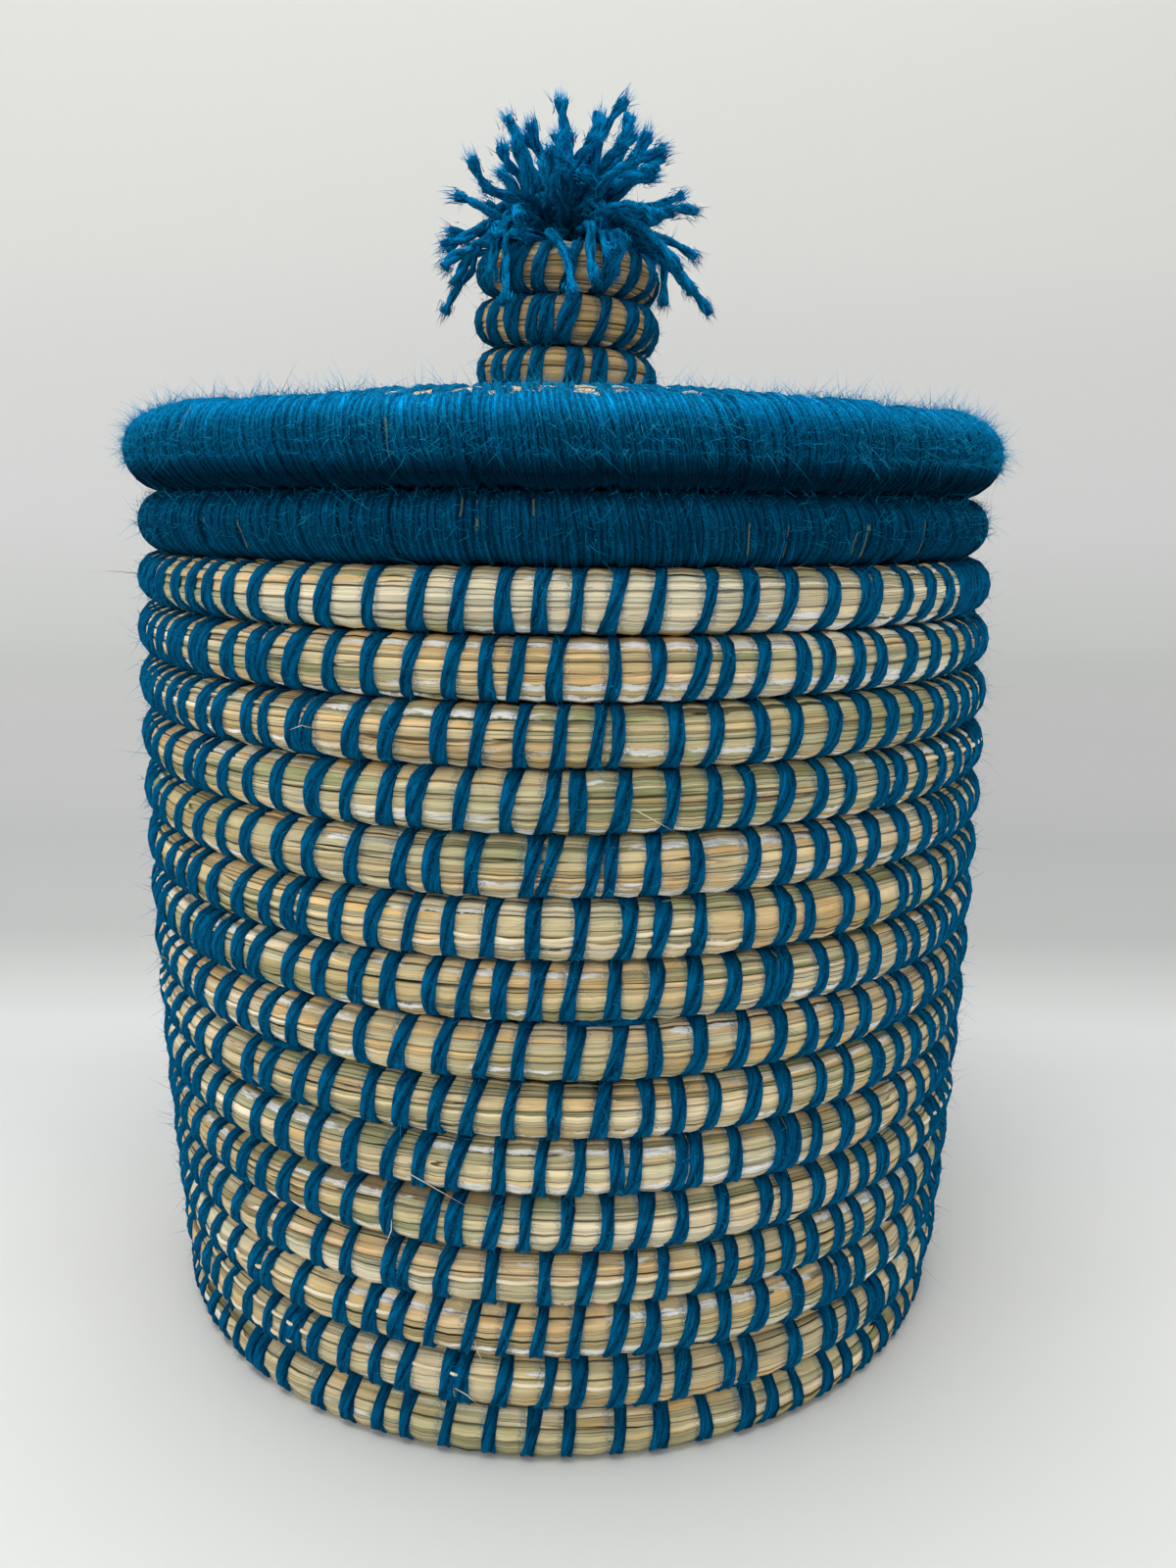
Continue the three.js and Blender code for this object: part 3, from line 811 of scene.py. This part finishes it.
stitchSpots = {}
for label, bodyName, node in (
    ("base", "basket", "base_coil"),
    ("wall", "basket", "wall_coil"),
    ("lid", "lid", "lid_coil"),
    ("knob", "lid", "knob_coil"),
    ("lip", "lid", "lid_lip_row"),
):
    setStitches(coils[label])
    rushBundle(label, coils[label], bodyName, node)
    knobRow = label == "knob"
    stitchSpots[label] = stitchRow(
        label, coils[label], bodyName, 1.2 if knobRow else 1.0, 1.25 if knobRow else 1.0
    )


# wrapped rims: wool laid turn by turn round a core

# painted light and shade on the rims: how bright the wool is painted at each height on the section's
# outside, -1 at its foot, 1 on top, dark in the gap between the two rims and bright on the lid rim's top
# where the lamp above falls
wraps = {
    "rim": {
        "low": rimLow, "high": rimHigh, "turnWidth": 0.0014, "ridge": 0.00062, "slant": 0.0007,
        "bare": 44, "body": "basket", "nodes": ("rim_wrap", "rim_core"), "bump": 0.0004,
        "tonesWithPaintedLight": (
            (-1, 0.15), (-0.86, 0.42), (-0.7, 0.74), (-0.54, 0.72), (-0.3, 0.62), (0, 0.56),
            (0.27, 0.66), (0.5, 0.84), (0.65, 0.76), (0.76, 0.42), (0.9, 0.2), (1, 0.5),
        ),
    },
    "lidRim": {
        "low": lidRimLow, "high": lidRimHigh, "turnWidth": 0.00135, "ridge": 0.0006, "slant": 0.0014,
        "bare": 6, "body": "lid", "nodes": ("lid_rim_wrap", "lid_rim_core"), "bump": 0.0007,
        "tonesWithPaintedLight": (
            (-1, 0.45), (-0.9, 0.12), (-0.77, 0.03), (-0.64, 0.05), (-0.51, 0.26), (-0.38, 0.72),
            (-0.2, 0.83), (0, 0.77), (0.3, 0.9), (0.42, 1.15), (0.51, 1.7), (0.64, 2.55), (0.77, 2.9),
            (0.89, 2.7), (1, 1.7),
        ),
    },
}


def wrapRim(label, wrap):
    # a ring whose surface is lifted by a round ridge for each yarn turn, on a turn count that
    # slants and wanders; each turn has its own height, and a few leave a slit on the rush
    half = (wrap["high"][2] - wrap["low"][2]) / 2
    ringRadius = wrap["high"][0] - half
    level = (wrap["high"][2] + wrap["low"][2]) / 2
    turns = int(2 * np.pi * ringRadius / wrap["turnWidth"])
    perTurn, sides = 4, 24
    theta = np.arange(turns * perTurn) / (turns * perTurn) * 2 * np.pi
    w = np.arange(sides) / sides * 2 * np.pi
    grid, round_ = np.meshgrid(theta, w, indexing="ij")
    wander = 0.22 * np.sin(grid * 9 + np.sin(round_)) + 0.2 * np.sin(grid * 23 + np.cos(round_))
    wander = wander + 0.16 * np.sin(grid * 57 + 1.5 * np.sin(round_ + 1))
    # two quick waves make some turns wide and some narrow
    wander = wander + 0.13 * np.sin(grid * round(turns * 0.31) + np.cos(round_))
    wander = wander + 0.09 * np.sin(grid * round(turns * 0.47) - np.sin(round_))
    count = turns / (2 * np.pi) * grid + wrap["slant"] / wrap["turnWidth"] * np.sin(round_) + wander
    index = np.floor(count).astype(int) % turns
    part = count - np.floor(count)
    heights = rng.normal(0, 0.00028, turns)
    ridge = wrap["ridge"] * (np.sqrt(np.clip(1 - (2 * part - 1) ** 2, 0, 1)) - 0.6)
    swell = wrap["bump"] * (np.sin(grid * 5 + 1) + np.sin(grid * 13 + 2.2) + np.sin(grid * 31)) / 3
    slits = rng.choice(turns, wrap["bare"], replace=False)
    slitAt = rng.uniform(-0.9, 1.2, wrap["bare"])
    reach = rng.uniform(0.25, 0.7, wrap["bare"])
    bare = np.zeros_like(grid)
    for turn, where, size in zip(slits, slitAt, reach):
        off = (round_ + np.pi) % (2 * np.pi) - np.pi - where
        bare = np.maximum(bare, (index == turn) * np.clip(1 - off**2 / size**2, 0, 1))
    # painted light and shade from the table: the outside by its height, the inside from the foot's tone
    # through 0.9 to the top's
    outer = np.interp(np.sin(round_), *zip(*wrap["tonesWithPaintedLight"]))
    inner = np.interp(np.sin(round_), [-1, 0, 1], [wrap["tonesWithPaintedLight"][0][1], 0.9, wrap["tonesWithPaintedLight"][-1][1]])
    tone = np.where(np.cos(round_) > 0, outer, inner)
    lift = ridge + heights[index] + swell - 0.0009 * bare - wrap["ridge"] * 0.2
    section = half + lift
    radius = ringRadius + section * np.cos(round_)
    height = level + section * np.sin(round_)
    points = np.stack([radius * np.cos(grid), radius * np.sin(grid), height], -1)
    u = np.linspace(0, 2 * np.pi * half, sides + 1)[None] + 0 * theta[:, None]
    u = np.concatenate([u, u[:1]])
    v = np.concatenate([count, count[:1] + turns]) * 2
    v = np.concatenate([v, v[:, :1]], 1)
    uv = np.stack([u, v], -1)
    shades = {"bare": bare, "tone": tone}
    piece = gridMesh(f"{label}_wool", points[None], uv[None], wrapWool, closeRows=True, shades=shades)
    finishPiece(piece, wrap["body"], "wool", *wrap["nodes"])
    print(label, "wrap", turns, "turns")
    normal = np.stack([np.cos(round_) * np.cos(grid), np.cos(round_) * np.sin(grid), np.sin(round_)], -1)
    # fuzz stands everywhere but on the underside
    open_ = normal[..., 2] > -0.4
    return points[open_], normal[open_]


wrapSpots = {label: wrapRim(label, wrap) for label, wrap in wraps.items()}


# loose hairs of wool


def unit(vectors):
    return vectors / np.linalg.norm(vectors, axis=-1, keepdims=True)


def ringRound(side, other, sides):
    # the ways to the corners of a ring, in the plane of two ways square to the strand
    angle = np.arange(sides) / sides * 2 * np.pi
    cos, sin = np.cos(angle)[:, None], np.sin(angle)[:, None]
    return side[..., None, :] * cos + other[..., None, :] * sin


def strandFrame(path, guide):
    # the way along each point of a strand, and two ways square to it
    tangent = unit(np.gradient(path, axis=1))
    side = unit(np.cross(tangent, guide))
    return tangent, side, np.cross(tangent, side)


def hairs(name, roots, ways, lengths, thickness, bend, body, slot="wool", material=fuzz):
    # spikes of three sides with a tip. Without a bend they are straight, or else each bends
    # towards a way of its own, by the square of the way along it.
    count = len(roots)
    rings = 2 if bend else 1
    steps = np.arange(rings + 1) / rings
    ways = unit(ways)
    curl = np.clip(rng.standard_normal((count, 3)), -1.4, 1.4) * bend
    bent = ways[:, None] * steps[None, :, None] + curl[:, None] * (steps**2)[None, :, None]
    middle = roots[:, None] + bent * np.broadcast_to(lengths, count)[:, None, None]
    middle[..., 2] = np.maximum(middle[..., 2], thickness + floorGap)
    side = unit(np.cross(ways, rng.standard_normal((count, 3))))
    other = np.cross(ways, side)
    taper = thickness * (1 - 0.6 * steps[None, :rings, None, None])
    shell = middle[:, :rings, None] + taper * ringRound(side, other, 3)[:, None]
    flat = np.concatenate([shell.reshape(count, -1, 3), middle[:, -1:]], 1)
    k = np.arange(3)
    last = 3 * (rings - 1)
    walls = [np.stack([k, (k + 1) % 3, (k + 1) % 3 + 3, k + 3], -1)] if bend else []
    points = np.stack([k + last, (k + 1) % 3 + last, 0 * k + last + 3], -1)
    corners = [*walls, np.concatenate([points, [[2, 1, 0]]])]
    shift = np.arange(count)[:, None, None] * flat.shape[1]
    faceSets = [(faces[None] + shift).reshape(-1, faces.shape[1]) for faces in corners]
    return finishPiece(facedMesh(name, flat.reshape(-1, 3), faceSets, material), body, slot)


def pick(count, *arrays):
    # the same random picks out of several grids of points
    flat = [array.reshape(-1, 3) for array in arrays]
    chosen = rng.integers(0, len(flat[0]), count)
    return [array[chosen] for array in flat]


def spread(ways, amount):
    return ways + rng.standard_normal(ways.shape) * amount


# how much fuzz each set of wool carries: hairs, how far they splay, and in how many pieces they come
hairRadius = 0.00007
fuzzPlan = {
    "rim": {"body": "basket", "down": 4000, "curls": 7000, "splay": 1.3, "pieces": 1},
    "lidRim": {"body": "lid", "down": 14000, "curls": 28000, "splay": 1.3, "pieces": 2},
    "base": {"body": "basket", "down": 1200, "curls": 200, "splay": 0.5, "pieces": 1},
    "wall": {"body": "basket", "down": 14000, "curls": 29000, "splay": 0.7, "pieces": 2},
    "lid": {"body": "lid", "down": 3000, "curls": 3500, "splay": 0.5, "pieces": 1},
    "knob": {"body": "lid", "down": 2000, "curls": 2400, "splay": 0.8, "pieces": 1},
    "lip": {"body": "lid", "down": 400, "curls": 100, "splay": 0.5, "pieces": 1},
}
for label, plan in fuzzPlan.items():
    spots = wrapSpots[label] if label in wrapSpots else stitchSpots[label]
    for number in range(plan["pieces"]):
        for kind, reach, bend in (("down", 0.0014, 0), ("curls", 0.0025, 1.2)):
            roots, ways = pick(plan[kind] // plan["pieces"], *spots)
            lengths = 0.0008 + reach * rng.random(len(roots)) ** 2
            roots, ways = spread(roots, 0.0004), spread(ways, plan["splay"])
            hairs(f"{label}_{kind}_{number + 1}", roots, ways, lengths, hairRadius, bend, plan["body"])
print("fuzz made")


# loose ends: a few straws that came away, and joining threads that run along a seam

loose = {
    "straws": 26,
    "strawRadius": 0.00016,
    "threads": 9,
    "threadRadius": 0.0008,
    "threadAt": -1.0,      # radians below the outside of the row
    "layStraws": 22,
    "layReach": 7,         # stitches that a laid straw passes under
    "layRadius": 0.0005,
}


def layStrands(name, starts, reach, rings, around, lift, thickness, slot, material):
    # round strands that follow the wall's bundle from one stitch to another further on
    coil, sides = coils["wall"], 6
    # counted in stitches, so that a strand can rise between two and pass under the next
    passed = starts[:, None] + reach * np.linspace(0, 1, rings)[None]
    turn = np.interp(passed, np.arange(len(coil["stitches"])), coil["stitches"])
    place = coilFrame(coil, turn)
    height = lift[0] - lift[1] * np.cos(2 * np.pi * passed)
    path = onCoil(place, around + 0 * turn, height * place["share"])
    path[..., 2] = np.maximum(path[..., 2], thickness + floorGap)
    _, side, other = strandFrame(path, [0, 0, 1.0])
    points = path[:, :, None] + thickness * ringRound(side, other, sides)
    u = np.linspace(0, 0.01 * reach, rings)[None, :, None] + rng.integers(0, 40, (len(starts), 1, 1))
    uv = together(u, np.linspace(0, 2, sides + 1)[None, None])
    tone = np.full(points.shape[:3], 0.8)
    finishPiece(gridMesh(name, points, uv, material, shades={"tone": tone}), "basket", slot)


def addLoose():
    coil = coils["wall"]
    # the straws start on the edge of a stitch's outermost ring, and lie along the row
    spots, ways = (part[0, :, stitch["rings"] // 2] for part in stitchSpots["wall"])
    chosen = rng.integers(0, len(spots), loose["straws"])
    roots = spots[chosen]
    ways = spread(unit(ways[chosen]) * rng.choice([-1, 1], (len(chosen), 1)), 0.3)
    lengths = rng.uniform(0.008, 0.022, len(chosen))
    hairs("loose_straws", roots, ways, lengths, loose["strawRadius"], 0.12, "basket", "rush", straw)
    starts = rng.choice(len(coil["stitches"]) - 3, loose["threads"], replace=False)
    bow = loose["threadAt"] - 0.5 * np.abs(2 * np.linspace(0, 1, 16)[None] - 1) ** 3
    thick = loose["threadRadius"]
    layStrands("joining_threads", starts, 2, 16, bow, (0.0006, 0.0), thick, "wool", tasselWool)
    # split straws held under the stitches, which wander up or down the row as they go
    reach, count = loose["layReach"], loose["layStraws"]
    starts = rng.choice(len(coil["stitches"]) - reach - 1, count, replace=False)
    begin = rng.uniform(-0.6, 0.5, (count, 1))
    drift = rng.uniform(-0.5, 0.5, (count, 1)) * np.linspace(0, 1, 48)[None] ** 1.4
    lift, thick = (0.0001, 0.0005), loose["layRadius"]
    layStrands("laid_straws", starts, reach, 48, begin + drift, lift, thick, "rush", straw)


addLoose()
print("loose ends made")


# the tassel: two-ply yarn ends that fan out of the knob

tassel = {
    "seed": 5,
    "ends": 124,
    "tangled": 54,         # ends that stop short and fill the middle
    "leanX": 0.0035,       # the fan leans to the right at its tips
    "turnApart": 2.39996,  # radians from one end to the next: the golden angle
    "bunch": 0.0085,
    "reach": 0.0365,
    "lift": 0.016,
    "rootDrop": 0.006,
    "plyRadius": 0.001,
    "plyApart": 0.00042,
    "lay": 0.0125,         # metres of yarn for one twist
    "rings": 32,
    "sides": 6,
    "brush": 64,           # hairs at each end's tip
    "brushRadius": 0.00014,
}


def tasselPaths(rng):
    # cubic curves: up out of the bunch, over, then out to a tip whose tilt grows from the middle
    # of the bunch to its edge, with a wobble that dies out at the root
    count = tassel["ends"]
    order = (np.arange(count) + 0.5) / count
    spin = np.arange(count) * tassel["turnApart"] + rng.normal(0, 0.25, count)
    tilt = np.radians(4 + 98 * order**0.75) + rng.normal(0, 0.12, count)
    root = tassel["bunch"] * np.sqrt(order)
    reach = tassel["reach"] * rng.uniform(0.82, 1.08, count)
    short = rng.choice(count, tassel["tangled"], replace=False)
    reach[short] *= rng.uniform(0.4, 0.7, len(short))
    flat = np.stack([np.cos(spin), np.sin(spin), 0 * spin], -1)
    up = np.array([0, 0, 1.0])
    mouth = knobTop * up

    def out(radius, height):
        radius, height = np.broadcast_to(radius, count), np.broadcast_to(height, count)
        return flat * radius[:, None] + up * height[:, None]

    start = out(root, knobTop - tassel["rootDrop"])
    first = out(root * 1.05, knobTop + 0.007)
    lean = 0.62 * tilt
    second = out(root + tassel["lift"] * np.sin(lean), knobTop + tassel["lift"] * np.cos(lean))
    droop = 0.0065 * np.clip((tilt - 1.2) / 0.7, 0, 1)
    tip = out(reach * np.sin(tilt), knobTop + reach * np.cos(tilt) - droop) + [tassel["leanX"], 0, 0]
    t = np.linspace(0, 1, tassel["rings"])[None, :, None]
    start, first, second, tip = (point[:, None] for point in (start, first, second, tip))
    path = start * (1 - t) ** 3 + 3 * first * t * (1 - t) ** 2 + 3 * second * t**2 * (1 - t) + tip * t**3
    wobble = 0
    for waves, size in ((1.1, 0.0018), (2.3, 0.0005)):
        phase = rng.random((count, 1, 3)) * 2 * np.pi
        wobble = wobble + size * np.sin(2 * np.pi * waves * t + phase)
    path = path + wobble * np.clip((t - 0.25) / 0.4, 0, 1)
    # ends that droop over the knob stay outside its top row
    across = np.linalg.norm(path[..., :2], axis=-1)
    low = path[..., 2] < knobTop + 0.001
    clear = knob["radius"] + 0.0085
    outside = across > 0.013
    push = np.where(low & outside, np.maximum(clear / np.maximum(across, 1e-6), 1), 1)
    path[..., :2] *= push[..., None]
    return path


def buildTassel():
    rng = np.random.default_rng(tassel["seed"])
    path = tasselPaths(rng)
    count, rings = path.shape[:2]
    tangent, side, other = strandFrame(path, unit(rng.standard_normal((count, 1, 3))))
    steps = np.linalg.norm(np.diff(path, axis=1), axis=-1)
    length = np.concatenate([np.zeros((count, 1)), np.cumsum(steps, axis=1)], axis=1)
    left = length[:, -1:] - length
    twist = 2 * np.pi * length / tassel["lay"] + rng.random((count, 1)) * phaseSpan
    flare = np.clip(1 - left / 0.006, 0, 1) ** 1.5
    size = rng.uniform(0.85, 1.15, (count, 1))
    ring = ringRound(side, other, tassel["sides"])
    plies = []
    for ply in (0, 1):
        phase = twist + np.pi * ply
        shift = tassel["plyApart"] * size * (1 + 1.5 * flare)
        middle = path + shift[..., None] * side * np.cos(phase)[..., None]
        middle = middle + shift[..., None] * other * np.sin(phase)[..., None]
        radius = tassel["plyRadius"] * size * (1 - 0.1 * flare)
        plies.append(middle[:, :, None] + radius[..., None, None] * ring)
    points = np.concatenate(plies)
    u = np.concatenate([length, length + 0.31])[:, :, None]
    v = np.linspace(0, 2, tassel["sides"] + 1)[None, None]
    uv = together(u, v)
    strands = [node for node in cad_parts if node.startswith("tassel_")]
    # painted shade and light: dark in the middle of the bunch, where the ends shade each other, and
    # bright at the tips
    shade = np.interp(length, [0.006, 0.02, 0.034], [0.14, 0.8, 1.9])
    tone = np.repeat(np.concatenate([shade, shade])[:, :, None], tassel["sides"], axis=2)
    piece = gridMesh("tassel_yarn", points, uv, tasselWool, shades={"tone": tone})
    finishPiece(piece, "lid", "tassel_wool", *strands)
    # every end opens into a small brush, and fine hairs stand off all along
    brush = tassel["brush"]
    roots = np.repeat(path[:, -2], brush, axis=0)
    roots = spread(roots, 0.0009)
    ways = spread(np.repeat(tangent[:, -1], brush, axis=0), 0.3)
    lengths = rng.uniform(0.002, 0.0048, len(roots))
    thick = tassel["brushRadius"]
    hairs("tassel_brushes", roots, ways, lengths, thick, 0, "lid", "tassel_wool", brushWool)
    outward = np.concatenate([side, -side])
    for label, amount, bend in (("down", 12000, 0), ("curls", 6000, 1.0)):
        roots, ways = pick(amount, points[:, :, 0], outward)
        lengths = 0.0006 + 0.0026 * rng.random(amount) ** 2
        ways = spread(ways, 1.0)
        hairs(f"tassel_{label}", roots, ways, lengths, hairRadius, bend, "lid", "tassel_wool", brushWool)
    print("tassel", count, "ends")


buildTassel()


# the stage, the lights and the camera

stage = {
    "floorEnd": 0.19, "bend": 0.14, "front": -1.6, "top": 2.2, "half": 2.6, "hole": 0.103,
    # path length from the basket's axis back and up the sweep, and the paper's colour there, with
    # painted shade: darkest in the bend, lighter on the floor and up the wall
    "tonesWithPaintedLight": (
        (-0.13, (206, 208, 206)), (-0.06, (210, 211, 210)), (0.0, (205, 206, 205)),
        (0.06, (195, 197, 197)), (0.11, (193, 194, 194)), (0.16, (195, 196, 196)),
        (0.2, (187, 188, 187)), (0.25, (168, 169, 168)), (0.31, (169, 170, 169)),
        (0.37, (185, 185, 184)), (0.42, (203, 204, 202)), (0.48, (209, 209, 208)),
        (0.57, (208, 208, 206)), (0.62, (210, 210, 206)), (0.72, (208, 208, 203)),
    ),
}


def buildStage():
    # a floor that sweeps up into a wall, with the paper's tone and its painted shade laid out along the
    # sweep
    arc = np.linspace(0, np.pi / 2, 20)
    bend, end = stage["bend"], stage["floorEnd"]
    floor = np.linspace(stage["front"], end, 24)
    y = np.concatenate([floor[:-1], end + bend * np.sin(arc), [end + bend]])
    z = np.concatenate([0 * floor[:-1], bend * (1 - np.cos(arc)), [stage["top"]]])
    path = stage["front"] + np.concatenate([[0], np.cumsum(np.hypot(np.diff(y), np.diff(z)))])
    x = np.linspace(-stage["half"], stage["half"], 9)
    points = together(x[None, :], y[:, None], z[:, None])[None]
    uv = together(path[:, None], 0 * x[None, :])[None]
    material, tree, shader = newMaterial("paper", {"Roughness": 0.9, "Specular IOR Level": 0.1})
    place = split(tree, ownUv(tree))
    # painted shade: the colour steps from tone to tone along the sweep
    colour = srgb(*stage["tonesWithPaintedLight"][0][1])
    for (start, _), (stop, tone) in zip(stage["tonesWithPaintedLight"][:-1], stage["tonesWithPaintedLight"][1:]):
        colour = mixed(tree, rangeOf(tree, place[0], start, stop), colour, srgb(*tone))
    tree.links.new(colour, shader.inputs["Base Color"])
    # clear from its back, so that a view from behind or below looks through it at the basket, and
    # open where the basket stands, so that some light reaches the underside
    clear = addNode(tree, "ShaderNodeBsdfTransparent")
    back = addNode(tree, "ShaderNodeNewGeometry").outputs["Backfacing"]
    place = addNode(tree, "ShaderNodeVectorMath", {0: objectPlace(tree)}, operation="LENGTH")
    solid = times(tree, back, calc(tree, "GREATER_THAN", place.outputs["Value"], stage["hole"]))
    both = addNode(tree, "ShaderNodeMixShader", {0: solid, 1: clear.outputs[0], 2: shader.outputs[0]})
    tree.links.new(both.outputs[0], tree.nodes["Material Output"].inputs["Surface"])
    gridMesh("stage", points, uv, material, closeColumns=False)


def areaLight(name, place, target, size, power, colour=(1, 1, 1)):
    data = bpy.data.lights.new(name, "AREA")
    data.size = size
    data.energy = power
    data.color = colour
    light = bpy.data.objects.new(name, data)
    direction = np.array(target) - np.array(place)
    yaw = math.atan2(direction[1], direction[0])
    tilt = math.atan2(math.hypot(direction[0], direction[1]), -direction[2])
    turn = Matrix.Rotation(yaw - math.pi / 2, 4, "Z") @ Matrix.Rotation(tilt, 4, "X")
    light.matrix_world = Matrix.Translation(place) @ turn
    scene.collection.objects.link(light)


lamps = {
    "above": ((-0.05, -0.05, 1.3), (0, 0, 0.1), 1.0, 19.0),
    "front": ((-0.3, -1.3, 0.8), (0, 0, 0.12), 0.9, 5.0),
    "left": ((-1.2, -0.5, 0.6), (0, 0, 0.12), 0.8, 3.2),
    "right": ((1.2, -0.5, 0.6), (0, 0, 0.12), 0.8, 2.1),
}


def buildLights():
    for name, (place, target, size, power) in lamps.items():
        areaLight(name, place, target, size, power)
    world = bpy.data.worlds.new("studio")
    world.use_nodes = True
    background = world.node_tree.nodes["Background"]
    background.inputs["Color"].default_value = (0.95, 0.98, 1.0, 1.0)
    # a plain level on the object, and a pale one where the camera sees past the paper
    seen = addNode(world.node_tree, "ShaderNodeLightPath").outputs["Is Camera Ray"]
    strength = rangeOf(world.node_tree, seen, 0.0, 1.0, 0.28, 0.72)
    world.node_tree.links.new(strength, background.inputs["Strength"])
    scene.world = world


cameraFit = {
    "focalPixels": 1350.0,
    "framePixels": 1600.0,
    "sensor": 36.0,
    "distance": 27.38,     # rows from the basket's axis
    "height": 0.84,        # rows above the rim's lower edge
    "across": 0.49,        # rows to the right
    "pitchDown": 11.77,
    "roll": 0.5,
}


def buildCamera():
    data = bpy.data.cameras.new("camera")
    data.lens = cameraFit["focalPixels"] / cameraFit["framePixels"] * cameraFit["sensor"]
    data.sensor_width = cameraFit["sensor"]
    camera = bpy.data.objects.new("camera", data)
    row = body["pitch"]
    height = rimFloor + cameraFit["height"] * row
    place = (cameraFit["across"] * row, -cameraFit["distance"] * row, height)
    tilt = Matrix.Rotation(math.radians(90 - cameraFit["pitchDown"]), 4, "X")
    roll = Matrix.Rotation(math.radians(cameraFit["roll"]), 4, "Z")
    camera.matrix_world = Matrix.Translation(place) @ tilt @ roll
    scene.collection.objects.link(camera)
    scene.camera = camera


buildStage()
buildLights()
buildCamera()
print("stage, lights and camera set")

meshes = [piece.data for piece in scene.objects if piece.type == "MESH"]
print("triangles", sum(len(face.vertices) - 2 for mesh in meshes for face in mesh.polygons))
